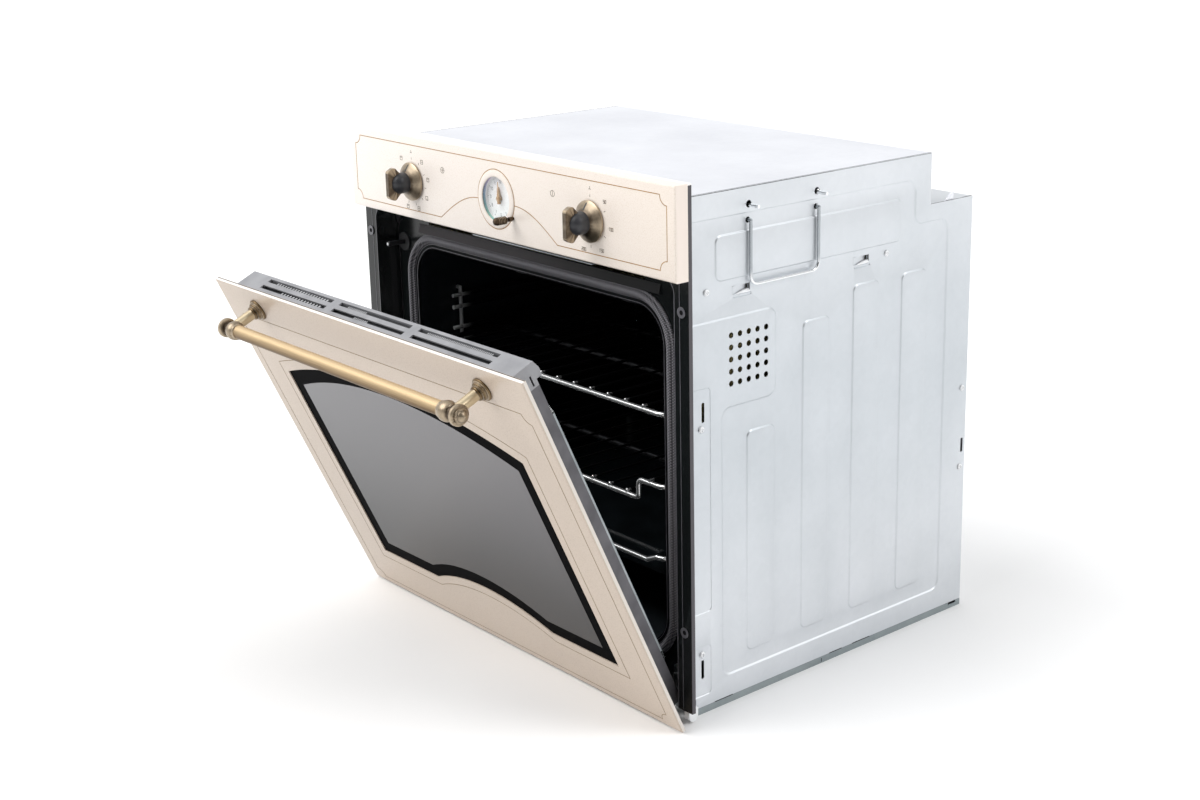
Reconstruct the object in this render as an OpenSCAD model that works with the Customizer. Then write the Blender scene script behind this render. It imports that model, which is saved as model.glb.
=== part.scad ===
// Built-in electric oven with a drop-down door, knobs, a clock and wire racks.
// Origin: centre of the housing's underside. X to the right, Y to the rear, Z up.

/* [Front] */
// How far the front stands out beyond each side panel
front_out = 20.5; // [18:0.5:24]
// Height from the cavity's roof to the fascia's upper edge
head_h = 146; // [142:1:160]
// Height of the fascia
fascia_h = 99; // [96:1:104]
// Depth of the fascia box
fascia_d = 17; // [15:1:19]
// Wall of the fascia sheet
fascia_t = 1.5; // [1:0.1:2.5]
// Radius of the enamelled front edges
edge_r = 2; // [0.5:0.1:3]
// Gap between the fascia and the door
fascia_gap = 5; // [4:0.5:8]

/* [Housing] */
// Space from the cavity's wall to the outside of each side panel
side_space = 49; // [46:1:56]
// Space behind the cavity for the fan motor
motor_space = 54.8; // [50:0.2:70]
// Step from the fascia's upper edge down to the roof
roof_step = 18; // [16:1:22]
// Step from the roof down to the rear shelf
shelf_step = 60; // [50:1:70]
// Depth of the rear shelf, measured from the rear panel
shelf_d = 75; // [65:1:85]
// Sheet of the housing
sheet_t = 1; // [0.8:0.1:1.4]
// Depth of the pressed fields in the housing sheets
press_d = 1.5; // [0.8:0.1:2]
// Height of the base tray
base_h = 8; // [6:1:10]
// How far the rear fan cover stands out
fan_cover_d = 26; // [20:1:34]

/* [Front frame] */
// Height of the frame's lower edge
frame_bottom = 18; // [17:0.5:20]
// Sheet of the front frame
frame_t = 1.2; // [1:0.1:1.6]
// Depth of the frame's outer hem
hem_d = 5; // [4:0.5:7]
// Depth of the door recess behind the strips
recess_d = 27; // [26:0.5:29]
// Draft of the recess walls
recess_draft = 6; // [4:0.5:7]
// Distance of the fixing holes from the frame's outer edge
fix_in = 10.5; // [9:0.5:12]
// Radius of the fixing holes in the strips
fix_hole_r = 2.6; // [2:0.1:3.2]
// Height of the lower fixing holes
fix_low_z = 110; // [90:5:150]
// Distance from the fascia's upper edge down to the upper fixing holes
fix_down = 133; // [125:1:145]

/* [Cavity] */
// Inner width of the oven cavity
cavity_w = 456; // [452:1:460]
// Height of the cavity floor
cavity_z = 62; // [60:1:66]
// Inner height of the cavity
cavity_h = 386; // [382:1:388]
// Inner depth of the cavity
cavity_d = 386; // [380:1:392]
// Corner radius of the cavity
cavity_r = 40; // [30:1:50]
// Wall of the enamelled liner
liner_t = 1.2; // [1:0.1:1.6]
// Width of the door seal
seal_w = 11; // [9:0.5:12]
// Distance from the cavity wall to the middle of the seal
seal_out = 12.5; // [11.5:0.5:14]
// Gap between the closed door and the seal
seal_gap = 0.4; // [0.3:0.1:1]

/* [Door] */
// Height of the closed door's lower edge
door_z = 16; // [15.5:0.5:17]
// Thickness of the door's front panel
panel_t = 5; // [4:0.5:6]
// Whole thickness of the door
door_t = 37; // [35:0.5:38]
// Gap between the door's body and the narrow end of the recess
door_side_gap = 1.8; // [1.4:0.1:5]
// How far the door stands open
door_open = 24.6; // [0:0.1:60]
// Depth of the hinge axis behind the door's face
hinge_d = 35; // [34:0.5:36]
// Height of the hinge axis
hinge_z = 14; // [13.5:0.5:14.5]
// Radius of the hinge pins
pin_r = 3; // [2:0.5:4]
// Running clearance round pins and spindles
run_gap = 0.05; // [0.02:0.01:0.1]
// Thickness of the glass panes
glass_t = 4; // [3:0.5:5]
// Distance from the door's side edge to the window
window_side = 69.5; // [62:0.5:82]
// Height of the window's lower edge above the door's lower edge
window_low = 69; // [60:1:80]
// Distance from the door's upper edge down to the window's top corners
window_drop = 119; // [110:1:134]
// Rise of the window's arched top
window_rise = 38; // [25:1:44]
// Half width of the wave in the window's lower edge
wave_x = 112; // [90:1:130]
// Rise of the wave in the window's lower edge
wave_rise = 26; // [15:1:32]

/* [Handle] */
// Distance from the door's side edge to each handle post
post_in = 79; // [72:1:88]
// Distance from the door's upper edge down to the handle posts
post_down = 27; // [22:1:34]
// Distance from the door's face to the bar's axis
bar_out = 40; // [36:1:50]
// Radius of the handle bar
bar_r = 7; // [6:0.5:8]
// Radius of the handle posts
post_r = 5; // [4:0.5:6]

/* [Controls] */
// Distance from the front's side edge to each knob's axis
knob_in = 132.5; // [118:0.5:148]
// Radius of the knob's base disc
knob_r = 22.5; // [20:0.5:25]
// Reach of the knob's wing in front of the fascia
knob_out = 35; // [30:1:40]
// Height of the knob's wing
wing_h = 38; // [34:1:42]
// Thickness of the knob's wing
wing_t = 5.5; // [4:0.5:7]
// Radius of the knob's ball
ball_r = 12; // [10:0.5:13]
// Radius of the control spindles
spindle_r = 3; // [2.5:0.5:4]
// Radius of the clock's glass
clock_r = 26; // [24:0.5:28]
// Radius of the timer stem
stem_r = 1.6; // [1:0.1:2.2]
// Radius of the timer knob
timer_r = 4.5; // [3.5:0.5:6]

/* [Racks and side rails] */
// Radius of the side rail wires
rail_r = 2.5; // [2:0.1:3]
// Height of the lowest rail level above the cavity floor
rail_low = 51; // [46:0.5:54]
// Distance between rail levels
rail_pitch = 41.5; // [40:0.5:42]
// Number of rail levels
rail_levels = 7; // [6:1:7]
// Distance between the two wires of one level
rail_pair = 15; // [14:0.5:17]
// Radius of the rack's frame wire
rack_r = 3; // [2.5:0.1:3.2]
// Radius of the rack's long wires
grid_r = 1.6; // [1.2:0.1:2]
// Distance between the rack's long wires
grid_pitch = 30; // [24:1:36]
// Gap between the racks and the rear air cover
rack_rear_gap = 25.2; // [20:0.2:40]
// Drop of the lower rack's middle
rack_drop = 22; // [16:1:26]
// Gap between a rack and the rail under it
rack_gap = 0.3; // [0.2:0.1:0.5]
// Depth of the drip tray
tray_depth = 28; // [20:1:32]

/* [Hidden] */
$fn = 48;
eps = 0.01;

// Depths are measured back from the fascia's front face
flange_d = fascia_d + hem_d;
face_d = fascia_d + recess_d;
liner_d = face_d + frame_t;
back_d = liner_d + cavity_d;
rear_d = back_d + motor_space;
front_y = -(flange_d + rear_d) / 2;
cavity_top = cavity_z + cavity_h;
front_h = cavity_top + head_h;
roof_h = front_h - roof_step;
shelf_h = roof_h - shelf_step;
half_body = cavity_w / 2 + side_space;
half_w = half_body + front_out;
recess_x = half_body - sheet_t - frame_t;
strip_w = half_w - recess_x;
recess_in = recess_x - recess_draft;
fascia_z = front_h - fascia_h;
door_top = fascia_z - fascia_gap;
door_h = door_top - door_z;
recess_top = fascia_z - 2;
sheet_d = fascia_d + frame_t;
fix_x = half_w - fix_in;
fix_high_z = front_h - fix_down;
base_front = face_d + 1;
cavity_mid = cavity_z + cavity_h / 2;
baffle_d = 32;
shelf_wall_d = rear_d - shelf_d;

// Controls
fascia_mid = fascia_z + fascia_h / 2;
knob_x = half_w - knob_in;
knob_drop = 4.5;
clock_drop = 3.5;
knob_z = fascia_mid - knob_drop;
clock_z = fascia_mid - clock_drop;
bracket_t = 1.4;
bracket_d = fascia_d - bracket_t;
control_x = half_w - 47.5;
control_low = fascia_z + 9;
control_high = front_h - 14;
switch_w = 60;
switch_d = 38;
clock_w = 84;
ring_out = clock_r + 7;
stem_a = 30.3;
stem_gap = 0.6;
stem_collar_r = 2.6;
stem_collar_low = 2.2;
stem_collar_h = 4;
stem_reach = ring_out + stem_r + stem_gap;
stem_x = stem_reach * cos(stem_a);
stem_z = clock_z - stem_reach * sin(stem_a);
clock_back = 13;
dial_d = 6.4;

// Seal
seal_depth = face_d - door_t - seal_gap;
seal_hx = cavity_w / 2 + seal_out;
seal_hz = cavity_h / 2 + seal_out;
seal_r = cavity_r + seal_out;

// Side rails and racks
rail_x = cavity_w / 2 - 10.5;
post_x = cavity_w / 2 - 6;
rail_front = liner_d + 56;
rail_rear = back_d - baffle_d - 8;
rail_tip = 15;
rack_x = rail_x - 2.5;
rack_rise = sqrt(pow(rail_r + rack_r + rack_gap, 2) - pow(rail_x - rack_x, 2));
rack_front = 56;
rack_depth = back_d - baffle_d - rack_rear_gap - rack_front;
rack_bend = 14;
upper_level = 5;
lower_level = 3;
tray_level = 1;
dip_x = rack_x - 45;
dip_bend = 6;
tray_bar_drop = 7;

// Door
body_half = recess_in - door_side_gap;
window_x = half_w - window_side;
window_high = door_h - window_drop;
post_pitch = 2 * (half_w - post_in);
post_up = door_h - post_down;
body_low = door_z + 8;
body_high = door_top - 7;
cap_h = 26;
mid_glass_d = 19;
inner_glass_d = door_t - glass_t;
side_w = 16;
wall_t = 1.2;
channel_top = 230;
channel_x = body_half - 21;
channel_w = 14;
arm_t = 3;
lug_r = 7;
cheek_in = 4;
panel_sheet = 1.4;

function fy(d) = front_y + d;
function level_z(i) = cavity_z + rail_low + i * rail_pitch;
function rack_z(i) = level_z(i) + rack_rise;
function arc(cx, cy, r, a0, a1, n) =
  [for (i = [0:n]) [cx + r * cos(a0 + (a1 - a0) * i / n), cy + r * sin(a0 + (a1 - a0) * i / n)]];
function unit(v) = v / norm(v);
// Points of a path whose corners are rounded with arcs of the given radii
function soften(p, r, n = 5) = [for (i = [0:len(p) - 1]) let (
    a = unit(p[(i + len(p) - 1) % len(p)] - p[i]),
    b = unit(p[(i + 1) % len(p)] - p[i]),
    half = acos(a * b) / 2,
    cut = r[i] / tan(half),
    mid = p[i] + unit(a + b) * r[i] / sin(half),
    s = p[i] + a * cut - mid,
    e = p[i] + b * cut - mid,
    turn = s[0] * e[1] - s[1] * e[0] > 0 ? 180 - 2 * half : 2 * half - 180,
    start = atan2(s[1], s[0])
  ) for (k = [0:n]) mid + r[i] * [cos(start + turn * k / n), sin(start + turn * k / n)]];

// A box from one corner to another, with Y given as a depth
module block(x, d, z) {
  translate([x[0], fy(d[0]), z[0]]) cube([x[1] - x[0], d[1] - d[0], z[1] - z[0]]);
}

// A flat shape in X and Z, t thick, starting at depth d
module facing(d, t) {
  translate([0, fy(d) + t, 0]) rotate([90, 0, 0]) linear_extrude(t) children();
}

// A profile in depth and Z, run along X
module along_x(x0, x1) {
  translate([x0, front_y, 0]) rotate([90, 0, 90]) linear_extrude(x1 - x0) children();
}

// A profile in X and depth, run along Z
module along_z(z0, z1) {
  translate([0, front_y, z0]) linear_extrude(z1 - z0) children();
}

module both_sides() {
  children();
  mirror([1, 0, 0]) children();
}

module rod_x(r, x0, x1, d, z) {
  translate([x0, fy(d), z]) rotate([0, 90, 0]) cylinder(r = r, h = x1 - x0);
}

module rod_y(r, x, d0, d1, z) {
  translate([x, fy(d0), z]) rotate([-90, 0, 0]) cylinder(r = r, h = d1 - d0);
}

module rod_z(r, x, d, z0, z1) {
  translate([x, fy(d), z0]) cylinder(r = r, h = z1 - z0);
}

// A rectangle with round corners, centred
module soft_rect(w, h, r) {
  square([w, h - 2 * r], center = true);
  square([w - 2 * r, h], center = true);
  for (x = [-1, 1], y = [-1, 1]) translate([x * (w / 2 - r), y * (h / 2 - r)]) circle(r);
}

// A slot with round ends, standing up, centred
module slot_up(w, h) {
  square([w, h - w], center = true);
  for (y = [-1, 1]) translate([0, y * (h - w) / 2]) circle(w / 2);
}

// An enamelled front box whose four front edges are rounded
module round_front_box(half_x, z0, z1, depth) {
  intersection() {
    along_z(z0, z1) round_front_profile(-half_x, half_x, depth);
    along_x(-half_x, half_x) rotate(90) mirror([0, 1]) round_front_profile(z0, z1, depth);
  }
}

module round_front_profile(a, b, depth) {
  translate([a, edge_r]) square([b - a, depth - edge_r]);
  translate([a + edge_r, 0]) square([b - a - 2 * edge_r, depth]);
  for (x = [a + edge_r, b - edge_r]) translate([x, edge_r]) circle(edge_r);
}

// Places what is drawn for the closed door where the open door is
module on_door() {
  translate([0, fy(hinge_d), hinge_z]) rotate([door_open, 0, 0])
    translate([0, -fy(hinge_d), -hinge_z]) children();
}

// Front frame: a stamped and enamelled pan with a hemmed rim
module strip_profile() {
  translate([recess_x, fascia_d]) square([strip_w, frame_t]);
  translate([half_w - frame_t, fascia_d]) square([frame_t, hem_d]);
}

module recess_wall_profile() {
  polygon([[recess_x, fascia_d], [recess_x + frame_t, fascia_d],
    [recess_in + frame_t, face_d + frame_t], [recess_in, face_d + frame_t]]);
}

module cavity_outline(grow) {
  translate([0, cavity_mid])
    soft_rect(cavity_w + 2 * grow, cavity_h + 2 * grow, cavity_r + grow);
}

outlet_x = 200;
outlet_z = [recess_top - 17, recess_top - 7];
slot_z = [26, 58];
hinge_x = channel_x + channel_w / 2;
flange_low = frame_bottom;
screw_boss_r = 6;

module front_frame() {
  color("#15191c") difference() {
    union() {
      both_sides() along_z(flange_low, front_h) strip_profile();
      both_sides() along_z(flange_low, recess_top + frame_t) recess_wall_profile();
      facing(fascia_d, frame_t) difference() {
        translate([-recess_x - eps, recess_top]) square([2 * recess_x + 2 * eps, front_h - recess_top]);
        translate([-control_x, control_low]) square([2 * control_x, control_high - control_low]);
      }
      block([-half_w, half_w], [fascia_d, flange_d], [front_h - frame_t, front_h]);
      block([-recess_x - eps, recess_x + eps], [fascia_d, face_d + frame_t],
        [recess_top, recess_top + frame_t]);
      facing(face_d, frame_t) difference() {
        translate([-recess_in - eps, flange_low])
          square([2 * recess_in + 2 * eps, recess_top - flange_low + eps]);
        cavity_outline(0);
        for (x = [-hinge_x, hinge_x]) translate([x - channel_w / 2, slot_z[0]])
          square([channel_w, slot_z[1] - slot_z[0]]);
        translate([-outlet_x, outlet_z[0]]) square([2 * outlet_x, outlet_z[1] - outlet_z[0]]);
      }
      block([-recess_in, recess_in], [face_d, face_d + 14], [flange_low, flange_low + frame_t]);
      for (x = [-1, 1], z = [fix_low_z, fix_high_z])
        rod_y(screw_boss_r, x * fix_x, fascia_d - 0.8, fascia_d + eps, z);
    }
    for (x = [-1, 1], z = [fix_low_z, fix_high_z])
      rod_y(fix_hole_r, x * fix_x, fascia_d - 1, sheet_d + 1, z);
    rod_y(locate_r, -locate_x, face_d - 1, face_d + 3, locate_z);
  }
}

locate_x = recess_in - 15;
locate_z = cavity_top;
locate_r = 3;
locate_out = 23;

// Pale disc with a dark pin that centres the closing door
module locating_pin() {
  color("#3c3d40") {
    rod_y(11.5, -locate_x, face_d - 2, face_d, locate_z);
    rod_y(locate_r, -locate_x, face_d - locate_out, face_d + 2, locate_z);
    translate([-locate_x, fy(face_d - locate_out), locate_z]) sphere(locate_r + 0.4);
  }
}

// Seal: a flat base with a round bulb, run round the cavity
module seal_section() {
  bulb = seal_depth / 2;
  translate([0, bulb]) circle(bulb);
  polygon([[-seal_w / 2, seal_depth], [-seal_w / 2, seal_depth - 2],
    [-bulb, bulb], [bulb, bulb], [seal_w / 2, seal_depth - 2], [seal_w / 2, seal_depth]]);
}

module seal_corner(x, z, a) {
  translate([x, fy(face_d), z]) rotate([90, 0, 0]) rotate([0, 0, a])
    rotate_extrude(angle = 90) translate([seal_r, seal_depth]) mirror([0, 1]) seal_section();
}

module door_seal() {
  top_d = face_d - seal_depth;
  color("#3a393c") {
    for (s = [-1, 1]) {
      along_z(cavity_mid - seal_hz + seal_r, cavity_mid + seal_hz - seal_r)
        translate([s * seal_hx, top_d]) seal_section();
      along_x(-seal_hx + seal_r, seal_hx - seal_r)
        translate([top_d, cavity_mid + s * seal_hz]) rotate(-90) seal_section();
    }
    seal_corner(seal_hx - seal_r, cavity_mid + seal_hz - seal_r, 0);
    seal_corner(-seal_hx + seal_r, cavity_mid + seal_hz - seal_r, 90);
    seal_corner(-seal_hx + seal_r, cavity_mid - seal_hz + seal_r, 180);
    seal_corner(seal_hx - seal_r, cavity_mid - seal_hz + seal_r, 270);
  }
}

// Cavity: a wrapped tube with pressed grooves in its floor, and a rear wall
module cavity_liner() {
  color("#1a1c1f") {
    facing(liner_d, cavity_d) difference() {
      cavity_outline(liner_t);
      cavity_outline(0);
    }
    facing(liner_d, liner_t) difference() {
      cavity_outline(9);
      cavity_outline(0);
    }
  }
}

shaft_r = 4;
fan_z = cavity_mid;

module cavity_back() {
  color("#1a1c1f") facing(back_d, liner_t) difference() {
    cavity_outline(liner_t);
    translate([0, fan_z]) circle(shaft_r + 3);
    translate([lamp_x, lamp_z]) circle(lamp_r + 1);
    for (x = [-1, 1]) {
      translate([x * ring_foot_x, fan_z - ring_foot_z]) circle(ring_wire + 0.5);
      translate([x * grill_x, grill_z]) circle(grill_r + 0.5);
    }
  }
}

// Rear air cover with a rayed fan grille and side slots
lamp_x = cavity_w / 2 - 32;
lamp_z = cavity_top - 44;
lamp_r = 22;
baffle_w = 2 * (lamp_x - lamp_r - 9);
baffle_h = cavity_h - 60;
grille_r = 62;

module fan_baffle() {
  top = back_d - baffle_d;
  color("#1b1d20") difference() {
    union() {
      facing(top, liner_t) translate([0, fan_z]) soft_rect(baffle_w, baffle_h, 18);
      facing(top, baffle_d) translate([0, fan_z]) difference() {
        soft_rect(baffle_w, baffle_h, 18);
        soft_rect(baffle_w - 2 * liner_t, baffle_h - 2 * liner_t, 18 - liner_t);
      }
    }
    facing(top - 1, 4) translate([0, fan_z]) {
      for (i = [0:15]) rotate(i * 22.5) translate([16 + (grille_r - 16) / 2, 0])
        rotate(90) slot_up(6, grille_r - 16);
      for (x = [-1, 1], z = [-4:4]) translate([x * (baffle_w / 2 - 34), z * 30])
        rotate(90) slot_up(8, 34);
    }
  }
}

// Convection fan: back disc, hub and curved blades on the motor's shaft
blade_n = 14;
wheel_r = 74;
wheel_d = 16;

module fan_wheel() {
  disc_d = back_d - 6;
  color("#b9bcbf") {
    difference() {
      union() {
        rod_y(wheel_r, 0, disc_d - 1, disc_d, fan_z);
        rod_y(10, 0, disc_d - 12, disc_d, fan_z);
      }
      for (i = [0:3]) rotate_about_fan(i * 90 + 45) rod_y(9, 34, disc_d - 3, disc_d + 2, fan_z);
    }
    for (i = [0:blade_n - 1]) rotate_about_fan(i * 360 / blade_n)
      facing(disc_d - wheel_d, wheel_d - 1 + eps) translate([0, fan_z])
        polygon(concat(arc(52, 20, 21.4, -100, -20, 6), arc(52, 20, 22.6, -20, -100, 6)));
    rod_y(shaft_r, 0, disc_d - 16, back_d + 26, fan_z);
  }
}

module rotate_about_fan(a) {
  translate([0, 0, fan_z]) rotate([0, a, 0]) translate([0, 0, -fan_z]) children();
}

// Ring heater round the fan, with two feet through the rear wall
ring_r = 92;
ring_wire = 3.5;
ring_foot_x = ring_r / 2;
ring_foot_z = sqrt(pow(ring_r, 2) - pow(ring_foot_x, 2));
collar_r = 7;

module ring_element() {
  d = back_d - 16;
  gap = asin(ring_foot_x / ring_r);
  color("#4b4d50") {
    translate([0, fy(d), fan_z]) rotate([90, 0, 0]) rotate([0, 0, gap - 90])
      rotate_extrude(angle = 360 - 2 * gap) translate([ring_r, 0]) circle(ring_wire);
    for (x = [-ring_foot_x, ring_foot_x]) {
      rod_y(ring_wire, x, d, back_d + 18, fan_z - ring_foot_z);
      rod_y(collar_r, x, back_d - 1.5, back_d, fan_z - ring_foot_z);
      rod_y(1.5, x, back_d + 18, back_d + 26, fan_z - ring_foot_z);
      translate([x, fy(d), fan_z - ring_foot_z]) sphere(ring_wire + 0.1);
    }
  }
}

// Grill heater: a tube bent to and fro under the cavity's roof
grill_r = 3.2;
grill_runs = 6;
grill_pitch = 50;
grill_x = (grill_runs - 1) * grill_pitch / 2;
grill_z = cavity_top - 22;

module grill_element() {
  z = grill_z;
  d0 = liner_d + 60;
  d1 = back_d - baffle_d - 30;
  x0 = -grill_x;
  bend = grill_pitch / 2;
  color("#4b4d50") {
    for (i = [0:grill_runs - 1]) {
      outer = i == 0 || i == grill_runs - 1;
      rod_y(grill_r, x0 + i * grill_pitch, d0 + bend, outer ? back_d + 16 : d1 - bend, z);
    }
    for (i = [0:grill_runs - 2]) {
      front = i % 2 == 0;
      translate([x0 + (i + 0.5) * grill_pitch, fy(front ? d0 + bend : d1 - bend), z])
        rotate([0, 0, front ? 180 : 0]) rotate_extrude(angle = 180) translate([bend, 0]) circle(grill_r);
    }
    for (x = [-1.5, 1.5] * grill_pitch) block([x - 2, x + 2], [d0 + 60, d0 + 72],
      [z - 1, cavity_top]);
    for (x = [-grill_x, grill_x]) rod_y(collar_r, x, back_d - 1.5, back_d, z);
  }
}

// Bottom heater under the cavity floor
module bottom_element() {
  z = cavity_z - liner_t - 10;
  d0 = liner_d + 70;
  d1 = back_d - 60;
  x = wool_gap - 24;
  bend = 40;
  color("#4b4d50") {
    rod_x(grill_r, -x + bend, x - bend, d0, z);
    for (s = [-1, 1]) {
      rod_y(grill_r, s * x, d0 + bend, d1, z);
      translate([s * (x - bend), fy(d0 + bend), z]) rotate([0, 0, s > 0 ? 270 : 180])
        rotate_extrude(angle = 90) translate([bend, 0]) circle(grill_r);
      block([s * x - 6, s * x + 6], [d1 - 40, d1 - 30], [z + 1, cavity_z - liner_t]);
    }
  }
}

module fan_motor() {
  d = back_d + liner_t;
  color("#8d9094") difference() {
    union() {
      block([-32, 32], [d + 6, d + 34], [fan_z - 26, fan_z + 26]);
      block([-48, 48], [d + 4, d + 6], [fan_z - 12, fan_z + 12]);
      for (x = [-42, 42]) rod_y(5, x, d, d + 4, fan_z);
      rod_y(12, 0, d + 2, d + 38, fan_z);
    }
    rod_y(shaft_r + run_gap, 0, d - 1, d + 30, fan_z);
  }
}

// Cooling blower: a cross-flow rotor in a curved shroud above the cavity
rotor_r = 28;
rotor_x = 105;
rotor_d = 250;
rotor_z = cavity_top + 64;
rotor_blades = 24;
shroud_t = 1;

module shroud_profile() {
  out = rotor_r + 7;
  difference() {
    union() {
      circle(out);
      translate([-rotor_d + face_d + frame_t, -out]) square([rotor_d - face_d - frame_t, 18]);
    }
    circle(out - shroud_t);
    translate([-rotor_d + face_d + frame_t - 1, -out + shroud_t])
      square([rotor_d - face_d - frame_t + 1, 18 - 2 * shroud_t]);
    translate([0, out * 0.2]) square([out * 2, out * 2]);
  }
}

module blower_housing() {
  color("#c3c8cb") {
    along_x(-rotor_x - 6, rotor_x + 6) translate([rotor_d, rotor_z]) shroud_profile();
    for (x = [-rotor_x - 6, rotor_x + 6 - shroud_t])
      difference() {
        along_x(x, x + shroud_t) translate([rotor_d, rotor_z]) circle(rotor_r + 7);
        rod_x(5, x - 1, x + 3, rotor_d, rotor_z);
      }
    for (x = [-1, 1]) along_x(x * 90 - 8, x * 90 + 8) translate([rotor_d, rotor_z]) difference() {
      translate([8, insulation_top - rotor_z]) square([24, 30]);
      circle(rotor_r + 7 - shroud_t / 2);
    }
  }
}

module blower_rotor() {
  color("#d9dcde") {
    for (x = [-rotor_x, 0, rotor_x - 1.5]) rod_x(rotor_r, x, x + 1.5, rotor_d, rotor_z);
    for (i = [0:rotor_blades - 1]) along_x(-rotor_x, rotor_x)
      translate([rotor_d, rotor_z]) rotate(i * 360 / rotor_blades)
        polygon(concat(arc(rotor_r - 4, 5, 5, 190, 290, 4), arc(rotor_r - 4, 5, 5.8, 290, 190, 4)));
    rod_x(3, -rotor_x - 12, rotor_x + 30, rotor_d, rotor_z);
  }
}

module blower_motor() {
  x = rotor_x + 14;
  color("#8d9094") difference() {
    union() {
      block([x, x + 30], [rotor_d - 24, rotor_d + 24], [rotor_z - 22, rotor_z + 22]);
      block([x + 6, x + 24], [rotor_d - 10, rotor_d + 10], [insulation_top, rotor_z - 20]);
    }
    rod_x(3 + run_gap, x - 1, x + 22, rotor_d, rotor_z);
  }
}

// Mineral wool blanket round the liner
wool_t = 14;
wool_gap = cavity_w / 2 - cavity_r - 24;
insulation_top = cavity_top + liner_t + wool_t;

module insulation() {
  color("#d8cf9e") difference() {
    facing(liner_d + liner_t + 1, cavity_d - liner_t - 20)
      translate([0, cavity_mid]) difference() {
        soft_rect(cavity_w + 2 * liner_t + 2 * wool_t, cavity_h + 2 * liner_t + 2 * wool_t,
          cavity_r + liner_t + wool_t);
        soft_rect(cavity_w + 2 * liner_t + 0.2, cavity_h + 2 * liner_t + 0.2,
          cavity_r + liner_t + 0.1);
      }
    block([-wool_gap, wool_gap], [liner_d, back_d + 2], [cavity_z - 40, cavity_z - liner_t]);
  }
}

// Side rails: two posts and paired runners on each wall
module side_rail() {
  z0 = level_z(0) - 8;
  z1 = level_z(rail_levels - 1) + rail_pair + 8;
  posts = [rail_front, rail_rear];
  color("#d4d7da") {
    for (d = posts) {
      rod_z(rail_r, post_x, d, z0, z1);
      for (z = [z0, z1]) {
        translate([post_x, fy(d), z]) sphere(rail_r);
        rod_x(rail_r, post_x, cavity_w / 2, d, z);
      }
    }
    for (i = [0:rail_levels - 1], dz = [0, rail_pair])
      rod_y(rail_r, rail_x, rail_front - rail_tip, rail_rear + 4, level_z(i) + dz);
  }
}

module side_rails() {
  both_sides() side_rail();
}

// A wire bent through a quarter turn, lying flat
module flat_bend(x, d, z, r, bend, a) {
  translate([x, fy(d), z]) rotate([0, 0, a])
    rotate_extrude(angle = 90) translate([bend, 0]) circle(r);
}

// The rack's outer wire: two sides, a rear bar and the rear corners
module rack_sides(z, front, rear) {
  for (s = [-1, 1]) rod_y(rack_r, s * rack_x, front + rack_bend, rear - rack_bend, z);
  rod_x(rack_r, -rack_x + rack_bend, rack_x - rack_bend, rear, z);
  flat_bend(rack_x - rack_bend, rear - rack_bend, z, rack_r, rack_bend, 0);
  flat_bend(-rack_x + rack_bend, rear - rack_bend, z, rack_r, rack_bend, 90);
  flat_bend(-rack_x + rack_bend, front + rack_bend, z, rack_r, rack_bend, 180);
  flat_bend(rack_x - rack_bend, front + rack_bend, z, rack_r, rack_bend, 270);
}

grid_rise = rack_r + grid_r - 0.8;

module rack_upper() {
  z = rack_z(upper_level);
  rear = rack_front + rack_depth;
  n = floor((rack_x - 10) / grid_pitch);
  color("#d9dcde") {
    rack_sides(z, rack_front, rear);
    rod_x(rack_r, -rack_x + rack_bend, rack_x - rack_bend, rack_front, z);
    for (i = [-n:n]) rod_y(grid_r, i * grid_pitch, rack_front - 2.5, rear + 2.5, z + grid_rise);
    for (k = [1, 2]) rod_x(rack_r, -rack_x, rack_x, rack_front + k * rack_depth / 3, z);
  }
}

// A step in a front or rear bar, bent down towards the middle
module dip_step(s, d, z) {
  lower = z - rack_drop;
  for (part = [0, 1]) {
    x = dip_x + (part == 0 ? dip_bend : -dip_bend);
    zc = part == 0 ? z - dip_bend : lower + dip_bend;
    a = part == 0 ? 90 : 270;
    mirror([s < 0 ? 1 : 0, 0, 0]) translate([x, fy(d), zc]) rotate([90, 0, 0]) rotate([0, 0, a])
      rotate_extrude(angle = 90) translate([dip_bend, 0]) circle(rack_r);
  }
  rod_z(rack_r, s * dip_x, d, lower + dip_bend, z - dip_bend);
  x0 = dip_x + dip_bend;
  x1 = rack_x - rack_bend;
  rod_x(rack_r, s > 0 ? x0 : -x1, s > 0 ? x1 : -x0, d, z);
}

module rack_lower() {
  low = rack_z(lower_level) - rack_drop;
  rear = rack_front + rack_depth;
  n = floor((dip_x - 10) / grid_pitch);
  color("#d9dcde") {
    for (d = [rack_front, rear]) rod_x(rack_r, -dip_x + dip_bend, dip_x - dip_bend, d, low);
    for (k = [1, 2]) rod_x(rack_r, -dip_x + dip_bend, dip_x - dip_bend,
      rack_front + k * rack_depth / 3, low);
    for (i = [-n:n]) rod_y(grid_r, i * grid_pitch, rack_front - 2.5, rear + 2.5, low + grid_rise);
  }
}

// The lower rack's two raised sides, which run on the rails
module rack_lower_frame() {
  z = rack_z(lower_level);
  rear = rack_front + rack_depth;
  color("#d9dcde") {
    for (s = [-1, 1]) {
      rod_y(rack_r, s * rack_x, rack_front + rack_bend, rear - rack_bend, z);
      dip_step(s, rack_front, z);
      dip_step(s, rear, z);
      flat_bend(s * (rack_x - rack_bend), rear - rack_bend, z, rack_r, rack_bend, s > 0 ? 0 : 90);
      flat_bend(s * (rack_x - rack_bend), rack_front + rack_bend, z, rack_r, rack_bend,
        s > 0 ? 270 : 180);
      rod_y(grid_r, s * (dip_x + 20), rack_front - 2.5, rear + 2.5, z + grid_rise);
    }
  }
}

// Wire carrier for the drip tray: the front bar dips a little in the middle
tray_front = rack_front - 2;

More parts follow.
